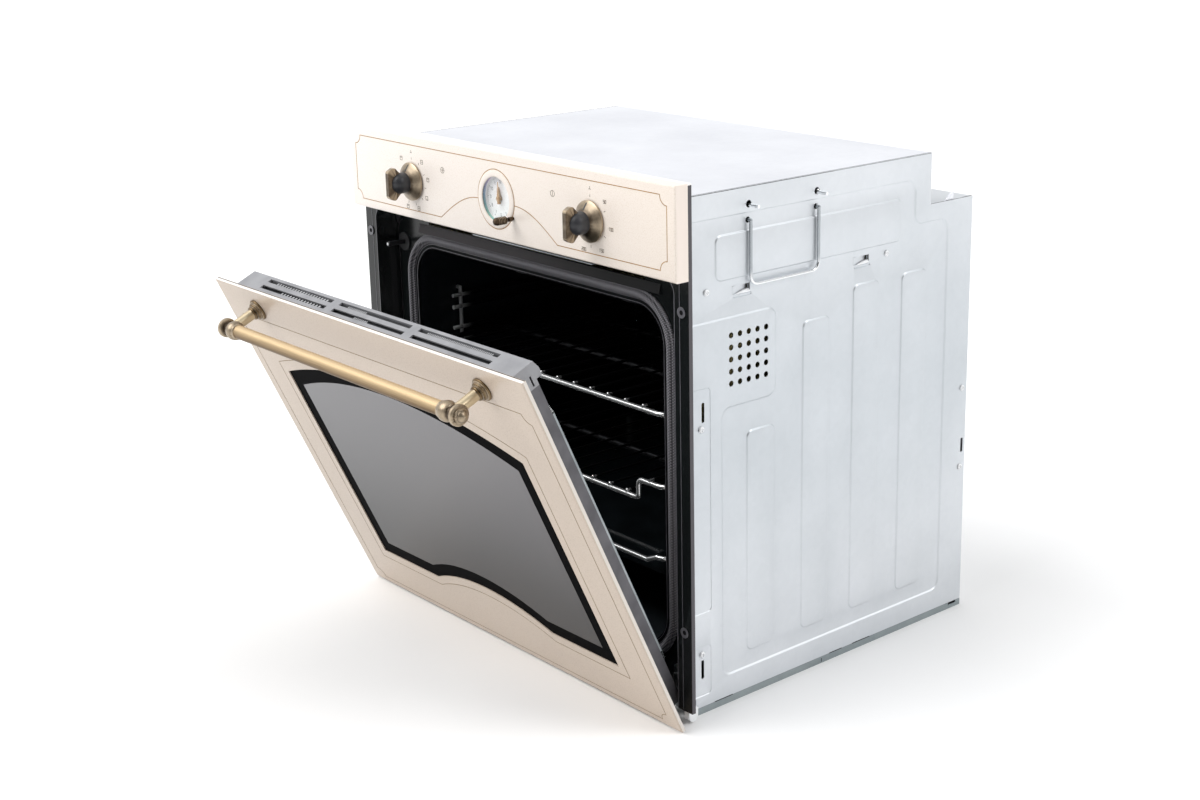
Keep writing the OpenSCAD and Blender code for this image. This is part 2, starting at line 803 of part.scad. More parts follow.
module tray_frame() {
  z = rack_z(tray_level);
  rear = tray_front + rack_depth;
  dip = rack_x - 30;
  slope = [[rack_x - rack_bend, 0], [dip, -tray_bar_drop]];
  color("#d9dcde") {
    rack_sides(z, tray_front, rear);
    rod_x(rack_r, -dip, dip, tray_front, z - tray_bar_drop);
    for (s = [-1, 1]) {
      run = slope[0][0] - slope[1][0];
      len = norm([run, tray_bar_drop]);
      translate([s * slope[0][0], fy(tray_front), z]) rotate([0, s * -(90 + atan(tray_bar_drop / run)), 0])
        cylinder(r = rack_r, h = len);
      for (p = slope) translate([s * p[0], fy(tray_front), z + p[1]]) sphere(rack_r + 0.2);
    }
  }
}

// Enamelled pan that hangs in the wire carrier by its rim
module drip_tray() {
  z = rack_z(tray_level) + rack_r;
  wall = 1.2;
  hx = rack_x - rack_r - 6;
  rim = 9;
  d0 = tray_front + rack_r + 8;
  d1 = tray_front + rack_depth - rack_r - 8;
  color("#141619") difference() {
    union() {
      block([-hx - rim, hx + rim], [d0 + 6, d1 - 6], [z, z + wall]);
      translate([0, fy((d0 + d1) / 2), z + wall - tray_depth])
        linear_extrude(tray_depth) soft_rect(2 * hx, d1 - d0, 16);
    }
    translate([0, fy((d0 + d1) / 2), z + 2 * wall - tray_depth])
      linear_extrude(tray_depth) soft_rect(2 * (hx - wall), d1 - d0 - 2 * wall, 16 - wall);
  }
}

// Side panel: a pressed sheet. The field is set in, the ribs stand out of it
field_top = roof_h - 28;
field_rear = rear_d - 43;
field_low = 34;
field_front = 82;
vent_box = [162, roof_h - 234, roof_h - 136];

function field_path() = soften([
    [flange_d + 14, field_top], [shelf_wall_d - 26, field_top],
    [shelf_wall_d - 26, shelf_h - 20], [field_rear, shelf_h - 20],
    [field_rear, field_low], [field_front, field_low],
    [field_front, vent_box[1]], [vent_box[0], vent_box[1]],
    [vent_box[0], vent_box[2]], [flange_d + 14, vent_box[2]]
  ], [2, 14, 14, 14, 12, 12, 12, 12, 12, 2]);

module panel_outline() {
  polygon([[sheet_d, base_h], [rear_d, base_h], [rear_d, shelf_h],
    [shelf_wall_d, shelf_h], [shelf_wall_d, roof_h], [sheet_d, roof_h]]);
}

rib_w = 42;
rib_low = 53;
rib_step = [267, 161, 134, 134];
rib_front = 140;
rib_rear = rear_d - 100;
rib_d = [for (i = [0:3]) rib_front + i * (rib_rear - rib_front) / 3];
rib_top = [for (step = rib_step) roof_h - step];
box_rib = [[74, roof_h - 95], [shelf_wall_d - 49, roof_h - 47]];
hole_row = 12.9;
hole_z = roof_h - 182;
hole_d = 121;
plate_w = 24;

module panel_ribs(inset) {
  for (i = [0:len(rib_d) - 1])
    translate([rib_d[i], (rib_low + rib_top[i]) / 2])
      soft_rect(rib_w - 2 * inset, rib_top[i] - rib_low - 2 * inset, 7);
  translate((box_rib[0] + box_rib[1]) / 2)
    soft_rect(box_rib[1][0] - box_rib[0][0] - 2 * inset, box_rib[1][1] - box_rib[0][1] - 2 * inset, 8);
}

module side_panel_right() {
  ins = half_body - sheet_t;
  color("#d5dadc") difference() {
    union() {
      along_x(ins, half_body) panel_outline();
      along_x(ins - press_d, half_body - eps) polygon(field_path());
    }
    difference() {
      along_x(half_body - press_d, half_body + 1) polygon(field_path());
      along_x(half_body - press_d - 1, half_body + 2) panel_ribs(0);
    }
    along_x(ins - press_d - 1, half_body - sheet_t) panel_ribs(sheet_t);
    along_x(ins - press_d - 2, half_body + 1) {
      for (i = [-2:2], k = [-2:2]) translate([hole_d + i * hole_row, hole_z + k * hole_row * 1.02])
        circle(3.6);
      for (d = bail_d) {
        translate([d, bail_z]) circle(bail_r + bail_play);
        translate([d, tail_z + 1]) circle(bail_r + tail_play);
      }
      translate([55, roof_h - 232]) slot_up(4, 22);
      translate([52, 52]) slot_up(4, 22);
      for (p = [[111, roof_h - 108], [shelf_wall_d - 115, roof_h - 107]])
        translate(p) square([26, 9], center = true);
      translate([rear_d - 6, fan_z - 45]) slot_up(5, 18);
    }
    block([ins - 3, half_body + 1], [sheet_d - 1, base_front - 5], [0, frame_bottom]);
  }
}

module side_panel_left() {
  mirror([1, 0, 0]) side_panel_right();
}

// Wire bail handles, swinging in two holes each
bail_d = [121, 223];
bail_z = roof_h - 36;
bail_r = 1.8;
bail_play = 1.5;
tail_play = 2.2;
bail_drop = 69;
tail_z = bail_z + 16;
tail_out = 15;

module bail_right() {
  x = half_body + bail_r + 1.2;
  inside = half_body - sheet_t - bail_r - 5;
  corner = 10;
  low = bail_z - bail_drop;
  color("#aeb4b8") {
    for (d = bail_d) {
      rod_x(bail_r, inside, x, d, bail_z);
      rod_z(bail_r, inside, d, bail_z, tail_z);
      rod_x(bail_r, inside, half_body + tail_out, d, tail_z);
      for (p = [[x, bail_z], [inside, bail_z], [inside, tail_z]])
        translate([p[0], fy(d), p[1]]) sphere(bail_r + 0.1);
      rod_z(bail_r, x, d, low + corner, bail_z);
    }
    rod_y(bail_r, x, bail_d[0] + corner, bail_d[1] - corner, low);
    translate([x, fy(bail_d[0] + corner), low + corner]) rotate([90, 0, 90]) rotate([0, 0, 180])
      rotate_extrude(angle = 90) translate([corner, 0]) circle(bail_r);
    translate([x, fy(bail_d[1] - corner), low + corner]) rotate([90, 0, 90]) rotate([0, 0, 270])
      rotate_extrude(angle = 90) translate([corner, 0]) circle(bail_r);
  }
}

module bail_left() {
  mirror([1, 0, 0]) bail_right();
}

// Roof: a flat sheet with a turned-down front and rear edge
module roof_panel() {
  color("#e4e8ea") {
    block([-half_body + sheet_t, half_body - sheet_t], [sheet_d, shelf_wall_d], [roof_h - sheet_t, roof_h]);
    block([-half_body + sheet_t, half_body - sheet_t], [shelf_wall_d - sheet_t, shelf_wall_d],
      [shelf_h - sheet_t, roof_h - sheet_t]);
    block([-half_body + sheet_t, half_body - sheet_t], [sheet_d, sheet_d + sheet_t],
      [roof_h - eps, roof_h + 10]);
  }
}

// Rear panel, folded forward at the top as a shelf, with slots and a pressed field
module rear_panel() {
  color("#cfd4d7") difference() {
    union() {
      block([-half_body + sheet_t, half_body - sheet_t], [rear_d - sheet_t, rear_d],
        [base_h, shelf_h]);
      block([-half_body + sheet_t, half_body - sheet_t], [shelf_wall_d, rear_d],
        [shelf_h - sheet_t, shelf_h]);
      facing(rear_d - sheet_t - press_d, press_d + eps) translate([50, 70])
        soft_rect(340, 64, 14);
    }
    facing(rear_d - press_d, press_d + 1) translate([50, 70]) soft_rect(340, 64, 14);
    facing(rear_d - 4, 6) {
      translate([0, fan_z]) circle(fan_open_r);
      for (x = [-1, 1], i = [0:7]) translate([x * (half_body - 72), fan_z + 5 + i * 22])
        rotate(90) slot_up(6, 70);
      for (i = [-6:6]) translate([i * 30, shelf_h - 46]) slot_up(7, 44);
      translate([terminal_x, terminal_z]) square([60, 40], center = true);
    }
  }
}

fan_open_r = 118;
terminal_x = 77 - half_body;
terminal_z = 88;

// Round pressed cover over the fan motor
module fan_cover() {
  r0 = fan_open_r + 12;
  r1 = fan_open_r - 20;
  color("#c9ced1") difference() {
    translate([0, fy(rear_d), fan_z]) rotate([-90, 0, 0]) rotate_extrude($fn = 72) polygon([
      [0, fan_cover_d - sheet_t], [r1 - 4, fan_cover_d - sheet_t], [fan_open_r - 4, sheet_t],
      [fan_open_r - 4, 0], [r0, 0], [r0, sheet_t], [fan_open_r, sheet_t],
      [r1, fan_cover_d], [0, fan_cover_d]]);
    facing(rear_d + 2, fan_cover_d) translate([0, fan_z])
      for (i = [0:23]) rotate(i * 15) translate([r1 - 34, 0]) rotate(90) slot_up(5, 34);
  }
}

// Base: a shallow tray with turned-up edges
module base_tray() {
  front = base_front;
  color("#c7ccd0") difference() {
    union() {
      block([-half_body, half_body], [front, rear_d], [0, sheet_t]);
      both_sides() block([half_body - sheet_t, half_body], [front - 5, rear_d], [0, base_h]);
      both_sides() block([half_body - 14, half_body], [front - 5, front + eps], [0, sheet_t]);
      block([-half_body, half_body], [rear_d - sheet_t, rear_d], [0, base_h]);
      block([-half_body + sheet_t, half_body - sheet_t], [front, front + sheet_t], [0, frame_bottom]);
      both_sides() block([cavity_w / 2 - cavity_r - 20, cavity_w / 2 - cavity_r - 8],
        [front + 30, back_d - 20], [sheet_t - eps, cavity_z - liner_t - wool_t]);
    }
    for (x = [-150:50:150], d = [150:70:360]) rod_z(6, x, d, -1, sheet_t + 1);
    both_sides() block([half_body - 4, half_body + 1], [rear_d - 22, rear_d - 8], [5, base_h + 1]);
  }
}

// Fascia: an enamelled box that is open at the back
module fascia() {
  color("#f3e6d9") difference() {
    round_front_box(half_w, fascia_z, front_h, fascia_d);
    block([-half_w + fascia_t, half_w - fascia_t], [fascia_t, fascia_d + 1],
      [fascia_z + fascia_t, front_h - fascia_t]);
    for (x = [-knob_x, knob_x]) rod_y(spindle_r + 2, x, -1, fascia_t + 1, knob_z);
    rod_y(clock_r + 1, 0, -1, fascia_t + 1, clock_z);
    rod_y(stem_r + 0.6, stem_x, -1, fascia_t + 1, stem_z);
  }
}

// Bracket behind the fascia that carries the controls
module control_bracket() {
  color("#bfc4c8") difference() {
    union() {
      block([-control_x - 12, control_x + 12], [bracket_d, fascia_d],
        [fascia_z + fascia_t, control_high + 8]);
      both_sides() block([control_x + 12 - bracket_t, control_x + 12],
        [fascia_t, bracket_d + eps], [control_low, control_high]);
    }
    for (x = [-knob_x, knob_x]) rod_y(spindle_r + 2, x, bracket_d - 1, fascia_d + 1, knob_z);
    block([-clock_w / 2 + 5, clock_w / 2 - 5], [bracket_d - 1, fascia_d + 1],
      [clock_z - clock_w / 2 + 6, clock_z + clock_w / 2 - 8]);
  }
}

module control_box(x, w, depth) {
  difference() {
    union() {
      block([x - w / 2, x + w / 2], [fascia_d, fascia_d + depth], [knob_z - w / 2 + 2, knob_z + w / 2 - 2]);
      for (k = [0:4]) block([x - w / 2 + 6 + k * (w - 18) / 4, x - w / 2 + 12 + k * (w - 18) / 4],
        [fascia_d + depth - eps, fascia_d + depth + 8], [knob_z - 1, knob_z]);
    }
    rod_y(spindle_r + run_gap, x, fascia_d - 1, fascia_d + depth - 4, knob_z);
  }
}

module selector_switch() {
  color("#d8d4c6") control_box(-knob_x, switch_w, switch_d);
}

module thermostat() {
  color("#b08d57") control_box(knob_x, switch_w - 6, switch_d - 8);
}

// Clock movement with a cup for the dial
module clock_body() {
  hw = clock_w / 2;
  color("#2b2d30") difference() {
    union() {
      block([-hw, hw], [fascia_t, bracket_d], [clock_z - hw + 4, clock_z + hw - 4]);
      block([-hw + 6, hw - 6], [bracket_d - eps, fascia_d + clock_back],
        [clock_z - hw + 7, clock_z + hw - 9]);
    }
    rod_y(clock_r + 1, 0, fascia_t - 1, dial_d + 1, clock_z);
    rod_y(stem_r + run_gap, stem_x, 0, fascia_d + clock_back - 4, stem_z);
    rod_y(arbor_r + run_gap, 0, 0, fascia_d, clock_z);
  }
}

arbor_r = 1.5;
tube_r = 2.5;

module clock_dial() {
  color("#f4f3ee") difference() {
    rod_y(clock_r + 0.9, 0, dial_d, dial_d + 1, clock_z);
    rod_y(tube_r + 0.3, 0, dial_d - 1, dial_d + 2, clock_z);
  }
}

module clock_glass() {
  color([0.8, 0.9, 0.95, 0.4]) rod_y(clock_r + 0.9, 0, 0, fascia_t, clock_z);
}

// Turned ring round the clock; its lip holds the glass
module clock_ring() {
  color("#efe2d4") translate([0, fy(0), clock_z]) rotate([90, 0, 0]) rotate_extrude($fn = 72)
    polygon([[clock_r - 1, 0], [ring_out, 0], [ring_out, 1], [ring_out - 1.6, 2.6],
      [ring_out - 3.4, 3.2], [clock_r + 1.6, 2.2], [clock_r - 1, 0.8]]);
}

// A tapered hand standing up from the clock's middle
module hand(reach, w, d, t) {
  facing(d, t) translate([0, clock_z]) {
    polygon([[-w, -6], [w, -6], [w * 1.3, 3], [0.3, reach], [-0.3, reach], [-w * 1.3, 3]]);
    circle(3.4);
  }
}

module minute_hand() {
  color("#b98f5f") {
    hand(19, 1.6, 2.6, 0.7);
    rod_y(arbor_r, 0, 2.6 + eps, fascia_d - 2, clock_z);
    rod_y(2.2, 0, 2.1, 2.7, clock_z);
  }
}

module hour_hand() {
  color("#a57e52") difference() {
    union() {
      hand(13, 2.2, 4.2, 0.7);
      rod_y(tube_r, 0, 4.3, dial_d + 0.6, clock_z);
    }
    rod_y(arbor_r + run_gap, 0, 3, dial_d + 4, clock_z);
  }
}

// Knob: a shallow cone on a rimmed disc, a wing and a ball on its axis
module knob(x) {
  clear = 0.5;
  taper = 12;
  hub_r = 8;
  translate([x, fy(0), knob_z]) {
    rotate([90, 0, 0]) rotate_extrude($fn = 72)
      polygon([[0, clear], [knob_r - 1.5, clear], [knob_r, clear + 1], [knob_r, clear + 2.5],
        [knob_r - 1.2, clear + 3.6], [hub_r + 1, clear + taper], [0, clear + taper]]);
    translate([-wing_t / 2, 0, 0]) rotate([90, 0, 90]) linear_extrude(wing_t) wing_profile();
    translate([0, -knob_out + ball_r + 5, 0]) sphere(ball_r);
  }
  rod_y(spindle_r, x, -clear - 1, fascia_d + 24, knob_z);
}

// The wing seen from the side, narrow at the disc and tall at its rounded front
module wing_profile() {
  top = wing_h / 2;
  front = -knob_out;
  neck = -8;
  upper = concat([[neck, 7]], arc(neck - 2, 17, 10, -75, -150, 6),
    arc(front + 8, top - 5, 5, 60, 120, 5), arc(front + 4, top - 6, 4, 125, 180, 4));
  lower = [for (i = [len(upper) - 1:-1:0]) [upper[i][0], -upper[i][1]]];
  polygon(concat(upper, lower));
}

module function_knob() {
  color("#8c7552") knob(-knob_x);
}

module thermostat_knob() {
  color("#8c7552") knob(knob_x);
}

// Timer knob: a ribbed barrel on a thin stem
module timer_knob() {
  color("#7d6748") translate([stem_x, fy(0), stem_z]) {
    rotate([90, 0, 0]) rotate_extrude() polygon(concat(
      [[0, 9], [timer_r - 1.6, 9], [timer_r, 11]],
      [for (k = [0:4], p = [[0, 0], [-0.5, 0.5], [-0.5, 1.1], [0, 1.6]])
        [timer_r + p[0], 11.4 + k * 2 + p[1]]],
      [[timer_r, 22.5], [timer_r - 0.8, 25], [timer_r - 2.5, 26.2], [0, 26.5]]));
    translate([0, -stem_collar_low, 0]) rotate([90, 0, 0]) cylinder(r = stem_collar_r, h = stem_collar_h);
    translate([0, fascia_d + 4, 0]) rotate([90, 0, 0]) cylinder(r = stem_r, h = fascia_d + 14);
  }
}

// Oven lamp in the rear wall

module lamp_socket() {
  color("#c8c5bb") {
    rod_y(lamp_r - 2, lamp_x, back_d + liner_t, back_d + liner_t + 26, lamp_z);
    rod_y(lamp_r + 5, lamp_x, back_d + liner_t, back_d + liner_t + 2, lamp_z);
    rod_y(9, lamp_x, back_d - 12, back_d + liner_t + eps, lamp_z);
    translate([lamp_x, fy(back_d - 12), lamp_z]) sphere(9);
  }
}

module lamp_lens() {
  color([0.85, 0.9, 0.92, 0.5]) translate([lamp_x, fy(back_d), lamp_z]) rotate([90, 0, 0])
    rotate_extrude() polygon([[lamp_r - 3, 0], [lamp_r + 4, 0], [lamp_r + 4, 4], [lamp_r, 8],
      [lamp_r - 3, 26], [lamp_r - 8, 28], [0, 28], [0, 26], [lamp_r - 9, 26], [lamp_r - 6, 24],
      [lamp_r - 3, 6]]);
}

module terminal_box() {
  color("#2a2c2f") difference() {
    union() {
      block([terminal_x - 34, terminal_x + 34], [rear_d, rear_d + 18], [terminal_z - 24, terminal_z + 24]);
      rod_z(11, terminal_x, rear_d + 11, terminal_z - 32, terminal_z - 24 + eps);
    }
    block([terminal_x - 32, terminal_x + 32], [rear_d - 1, rear_d + 16], [terminal_z - 22, terminal_z + 22]);
    rod_z(6, terminal_x, rear_d + 9, terminal_z - 33, terminal_z - 20);
  }
}

// Screw heads on the panels, each with its shank in the sheet
screw_r = 3.6;

module screw_head() {
  rotate_extrude($fn = 24)
    polygon([[0, 0], [screw_r, 0], [screw_r - 0.2, 1.2], [screw_r - 1.4, 2.2], [0, 2.6]]);
}

module screw_x(d, z) {
  both_sides() translate([half_body, fy(d), z]) rotate([0, 90, 0]) screw_head();
}

module screw_rear(x, z) {
  translate([x, fy(rear_d), z]) rotate([-90, 0, 0]) screw_head();
}

module housing_screws() {
  color("#aab0b4") {
    for (p = [[61, roof_h - 104], [shelf_wall_d - 73, roof_h - 106], [52, roof_h - 250], [51, 70],
      [rear_d - 9, fan_z + 28], [rear_d - 9, fan_z - 72]]) screw_x(p[0], p[1]);
    for (x = [22 - half_body, half_body - 22], z = [40, 200, 360, shelf_h - 26]) screw_rear(x, z);
  }
}

// Hinge arms: flat hooks fixed in the frame's slots, each with an eye for the pin
module hinge_arms() {
  color("#b3b8bc") both_sides() {
    block([hinge_x - 10, hinge_x + 10], [face_d + frame_t, face_d + frame_t + 2], [20, 66]);
    rod_x(1.5, hinge_x - 3.4, hinge_x + 3.4, lock_d, lock_z);
    hinge_arm();
  }
}

module hinge_arm() {
  difference() {
    translate([hinge_x - arm_t / 2, 0, 0]) along_x(0, arm_t) {
      polygon([[hinge_d - 5, hinge_z], [hinge_d - 4, lock_z + 5], [lock_d + 5, lock_z + 6],
        [face_d + 40, 52], [face_d + 40, 32], [face_d - 1, 27], [hinge_d + 5, hinge_z]]);
      translate([hinge_d, hinge_z]) circle(6.5);
    }
    rod_x(pin_r + run_gap, hinge_x - 10, hinge_x + 10, hinge_d, hinge_z);
  }
}

// Locking levers that swing down over the arms when the door is lifted off
lock_d = 37;
lock_z = 41;

module hinge_lock_right() {
  color("#c8ccd0") difference() {
    union() {
      for (s = [-1, 1]) translate([hinge_x + s * 2.3 - 0.5, 0, 0]) along_x(0, 1) {
        translate([lock_d, lock_z]) circle(4);
        polygon([[lock_d - 4, lock_z], [lock_d + 4, lock_z],
          [lock_d + 1, lock_z + 14], [lock_d - 3, lock_z + 14]]);
      }
      block([hinge_x - 2.8, hinge_x + 2.8], [lock_d - 3, lock_d + 1], [lock_z + 12, lock_z + 14]);
    }
    rod_x(1.5 + run_gap, hinge_x - 10, hinge_x + 10, lock_d, lock_z);
  }
}

module hinge_lock_left() {
  mirror([1, 0, 0]) hinge_lock_right();
}

// Door front: an enamelled pan with a shaped window
function window_path(grow) = let (
    low = door_z + window_low - grow,
    high = door_z + window_high + grow * 0.9,
    x = window_x + grow,
    arch = (x * x + window_rise * window_rise) / (2 * window_rise),
    arch_a = asin(x / arch),
    wave = (wave_x * wave_x + wave_rise * wave_rise) / (2 * wave_rise),
    wave_a = asin(wave_x / wave)
  ) concat(
    arc(0, high + window_rise - arch, arch, 90 + arch_a, 90 - arch_a, 24),
    [[x, low]],
    arc(0, low + wave_rise - wave, wave, 90 - wave_a, 90 + wave_a, 14),
    [[-x, low]]);

module door_panel() {
  color("#d8c7b5") on_door() difference() {
    round_front_box(half_w, door_z, door_top, panel_t);
    block([-half_w + wall_t, half_w - wall_t], [panel_sheet, panel_t + 1],
      [door_z + wall_t, door_top - wall_t]);
    facing(-1, 4) polygon(window_path(0));
    for (x = [-1, 1]) rod_y(2, x * post_pitch / 2, -1, 3, door_z + post_up);
  }
}

module pane(x, z0, z1, d) {
  block([-x, x], [d, d + glass_t], [z0, z1]);
}

module outer_glass() {
  color([0.35, 0.35, 0.37, 0.9]) on_door()
    pane(window_x + 22, door_z + 42, door_z + window_high + window_rise + 18, panel_sheet);
}

module middle_glass() {
  color([0.6, 0.65, 0.66, 0.5]) on_door()
    pane(channel_x - 3.5, body_low + wall_t, body_high - cap_h - 6, mid_glass_d);
}

module inner_glass() {
  x = body_half - 3;
  z0 = body_low + 4;
  z1 = body_high - lip_h;
  color([0.6, 0.65, 0.66, 0.5]) on_door() facing(inner_glass_d, glass_t) polygon([
    [-x, z0 + 54], [-x + 32, z0], [x - 32, z0], [x, z0 + 54],
    [x, z1 - 44], [x - 28, z1], [-x + 28, z1], [-x, z1 - 44]]);
}

// Side profiles: folded channels that carry the panes
module door_sides() {
  color("#5b585b") on_door() both_sides() difference() {
    union() {
      along_z(body_low, body_high - cap_h) difference() {
        translate([body_half - side_w, panel_sheet])
          square([side_w, inner_glass_d - panel_sheet]);
        translate([body_half - side_w - 1, panel_sheet + wall_t])
          square([side_w - wall_t + 1, inner_glass_d - panel_sheet - 2 * wall_t]);
      }
      for (d = [mid_glass_d - wall_t, mid_glass_d + glass_t])
        block([body_half - 27, body_half - wall_t + eps], [d, d + wall_t],
          [channel_top + 10, body_high - 60]);
    }
    block([body_half - side_w - 1, body_half - wall_t], [inner_glass_d - 2 * wall_t, inner_glass_d + 1],
      [body_low - 1, body_low + 42]);
    rod_y(2 * locate_r, locate_x, 25, 50, locate_z);
  }
}

// Door cap: a moulding with six long vents and stepped ends
vent_w = 138;
vent_pitch = 153;
vent_row = [15.4, 27];
vent_d = 5.4;
lip_h = 19;

module door_cap() {
  color("#b8b9bc") on_door() difference() {
    along_x(-body_half, body_half) polygon([
      [panel_sheet, body_high - cap_h], [inner_glass_d, body_high - cap_h],
      [inner_glass_d, body_high - lip_h], [door_t + 3.4, body_high - lip_h],
      [door_t + 3.4, body_high - 10], [door_t - 0.5, body_high], [panel_sheet, body_high]]);
    block([-body_half + 2, body_half - 2], [panel_sheet + 2, inner_glass_d - 2],
      [body_high - cap_h - 1, body_high - 2]);
    for (i = [-1:1], row = vent_row)
      block([i * vent_pitch - vent_w / 2, i * vent_pitch + vent_w / 2], [row, row + vent_d],
        [body_high - 3, body_high + 1]);
    both_sides() block([body_half - 3, body_half + 1], [26, 28], [body_high - 24, body_high - 12]);
  }
}

module door_bottom_rail() {
  color("#3f3e41") on_door() difference() {
    block([-channel_x + 2, channel_x - 2], [panel_sheet, inner_glass_d], [body_low, body_low + 12]);
    block([-channel_x + 2 + wall_t, channel_x - 2 - wall_t],
      [panel_sheet + wall_t, inner_glass_d - wall_t], [body_low + wall_t, body_low + 13]);
    for (i = [-6:6]) block([i * 32 - 11, i * 32 + 11], [8, 16], [body_low - 1, body_low + 3]);
  }
}

// Hinge channels in the door: a folded case with lugs, a pin and a spring rod
module hinge_channels() {
  case_d = 6.6;
  color("#9aa0a4") on_door() both_sides() {
    difference() {
      union() {
        block([hinge_x - 6, hinge_x + 6], [case_d, inner_glass_d - wall_t],
          [body_low + 30, channel_top]);
        for (s = [-1, 1]) translate([hinge_x + s * 5 - 1, 0, 0]) along_x(0, 2) {
          translate([hinge_d, hinge_z]) circle(lug_r);
          polygon([[12, body_low + 40], [inner_glass_d - wall_t, body_low + 40],
            [hinge_d + 5, hinge_z + 3], [hinge_d - 6, hinge_z - 3]]);
        }
      }
      block([hinge_x - cheek_in, hinge_x + cheek_in], [case_d + 1.5, inner_glass_d],
        [body_low - 20, channel_top - 2]);
    }
    rod_x(pin_r, hinge_x - 6, hinge_x + 6, hinge_d, hinge_z);
    rod_z(1.6, hinge_x, 21, 80, channel_top - 1);
  }
}

// Handle: a bar, two posts on stepped roses, and turned end pieces
bar_end = post_pitch / 2 - 16;

module handle_bar() {
  color("#c9a566") on_door() rod_x(bar_r, -bar_end, bar_end, -bar_out, door_z + post_up);
}

module handle_posts() {
  color("#a08b6e") on_door() difference() {
    for (s = [-1, 1]) translate([s * post_pitch / 2, fy(0), door_z + post_up]) rotate([90, 0, 0])
      rotate_extrude() polygon([[0, 0], [12.5, 0], [12.5, 2], [11, 3], [11, 4.5], [9, 5.5],
        [9, 7], [6.8, 8], [6.2, 10.5], [post_r, 12], [post_r, bar_out - 4], [0, bar_out - 4]]);
    rod_x(bar_r, -post_pitch / 2 - 20, post_pitch / 2 + 20, -bar_out, door_z + post_up);
    both_sides() finial();
  }
}

module finial() {
  translate([bar_end - 2, fy(-bar_out), door_z + post_up]) rotate([0, 90, 0]) rotate_extrude()
    polygon(concat([[bar_r, 0], [bar_r + 2, 0.6]],
      arc(0, 9, 11, -35, 40, 8),
      [[bar_r, 17], [bar_r, 24], [10.4, 25], [11.2, 26], [11.2, 29], [10.4, 30],
        [8.2, 30.4], [8.2, 33], [6.8, 33.4]],
      arc(0, 31.4, 6.8, 20, 90, 6), [[0, 2], [bar_r, 2]]));
}

module handle_finials() {
  color("#a08b6e") on_door() both_sides() finial();
}

front_frame();
door_seal();
cavity_liner();
cavity_back();
fan_baffle();
ring_element();
grill_element();
bottom_element();
fan_motor();
blower_housing();
blower_motor();
insulation();
side_rails();
side_panel_left();
side_panel_right();
roof_panel();
rear_panel();
fan_cover();
base_tray();
control_bracket();
selector_switch();
thermostat();
clock_body();
clock_dial();
clock_glass();
clock_ring();
fascia();
lamp_socket();
lamp_lens();
terminal_box();
housing_screws();
hinge_arms();
locating_pin();
function_knob();
thermostat_knob();
timer_knob();
minute_hand();
hour_hand();
fan_wheel();
blower_rotor();
rack_upper();
rack_lower();
rack_lower_frame();
tray_frame();
drip_tray();
bail_left();
bail_right();
hinge_lock_left();
hinge_lock_right();
door_panel();
outer_glass();
middle_glass();
inner_glass();
door_sides();
door_cap();
door_bottom_rail();
hinge_channels();
handle_bar();
handle_posts();
handle_finials();
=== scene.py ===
import math
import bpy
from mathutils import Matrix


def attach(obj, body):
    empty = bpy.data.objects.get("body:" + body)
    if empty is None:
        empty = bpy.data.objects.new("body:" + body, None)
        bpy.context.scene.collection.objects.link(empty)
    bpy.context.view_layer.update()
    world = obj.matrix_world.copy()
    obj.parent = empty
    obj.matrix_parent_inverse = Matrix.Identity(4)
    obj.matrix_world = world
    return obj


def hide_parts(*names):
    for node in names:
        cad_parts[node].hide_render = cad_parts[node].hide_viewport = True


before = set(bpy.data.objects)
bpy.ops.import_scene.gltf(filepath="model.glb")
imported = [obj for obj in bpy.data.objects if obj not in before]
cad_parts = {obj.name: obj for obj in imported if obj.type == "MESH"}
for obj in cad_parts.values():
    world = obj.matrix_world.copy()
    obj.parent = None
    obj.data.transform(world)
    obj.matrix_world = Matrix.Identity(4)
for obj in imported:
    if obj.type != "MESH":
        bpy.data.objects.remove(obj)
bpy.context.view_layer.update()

from types import SimpleNamespace

import bmesh
import bpy
from mathutils import Matrix, Vector
from mathutils.geometry import delaunay_2d_cdt

# Sizes of the oven in millimetres; depths are measured back from the fascia's front
AXIS_SHIFT = 254.0
HALF_FRONT = 297.5
FRONT_TOP = 594.0
DOOR_TOP = 490.0
DOOR_OPEN = math.radians(24.6)
HINGE = (35.0, 14.0)
HALF_BODY = 277.0
FLANGE = 17.0
FRAME_BACK = 18.2
REAR = 486.0
ROOF = 576.0
SHELF = 516.0
SHELF_WALL = 411.0
SHEET = 1.0
PRESS = 1.5
KNOB_X = 165.0
KNOB_Z = 540.0
CLOCK_Z = 541.0
STEM = (30.4, 523.2)
RECESS = 44.0
CAP_TOP = 483.0
DOOR_BODY = 267.0
PANE_EDGE = 264.0
POST_X = 218.5
POST_Z = 463.0
BAR_OUT = 40.0
SIDES = (("right", 1), ("left", -1))


def place(x, depth, z):
    """A point in the row's frame, in metres."""
    return Vector((x, depth - AXIS_SHIFT, z)) / 1000.0


def on_door(x, depth, z):
    """The same for a point given on the closed door."""
    y, up = depth - HINGE[0], z - HINGE[1]
    c, s = math.cos(DOOR_OPEN), math.sin(DOOR_OPEN)
    return place(x, HINGE[0] + y * c - up * s, HINGE[1] + y * s + up * c)


def on_door_face(x, z, out):
    return on_door(x, -out, z)


def ahead_of(depth):
    """Maps across, height and forward distance from the plane at that depth."""
    return lambda x, z, out: place(x, depth - out, z)


on_face = ahead_of(0.0)


def on_side(side, sunk=0.0):
    """Maps depth, height and outward distance from a side of the body."""
    return lambda d, z, out: place(side * (HALF_BODY - sunk + out), d, z)


def on_profile(d, z, x):
    return place(x, d, z)


def over_cap(x, depth, up):
    return on_door(x, depth, CAP_TOP + up)


def over_door(x, depth, up):
    return on_door(x, depth, DOOR_TOP + up)


# Materials

WHITE = (1.0, 1.0, 1.0, 1.0)

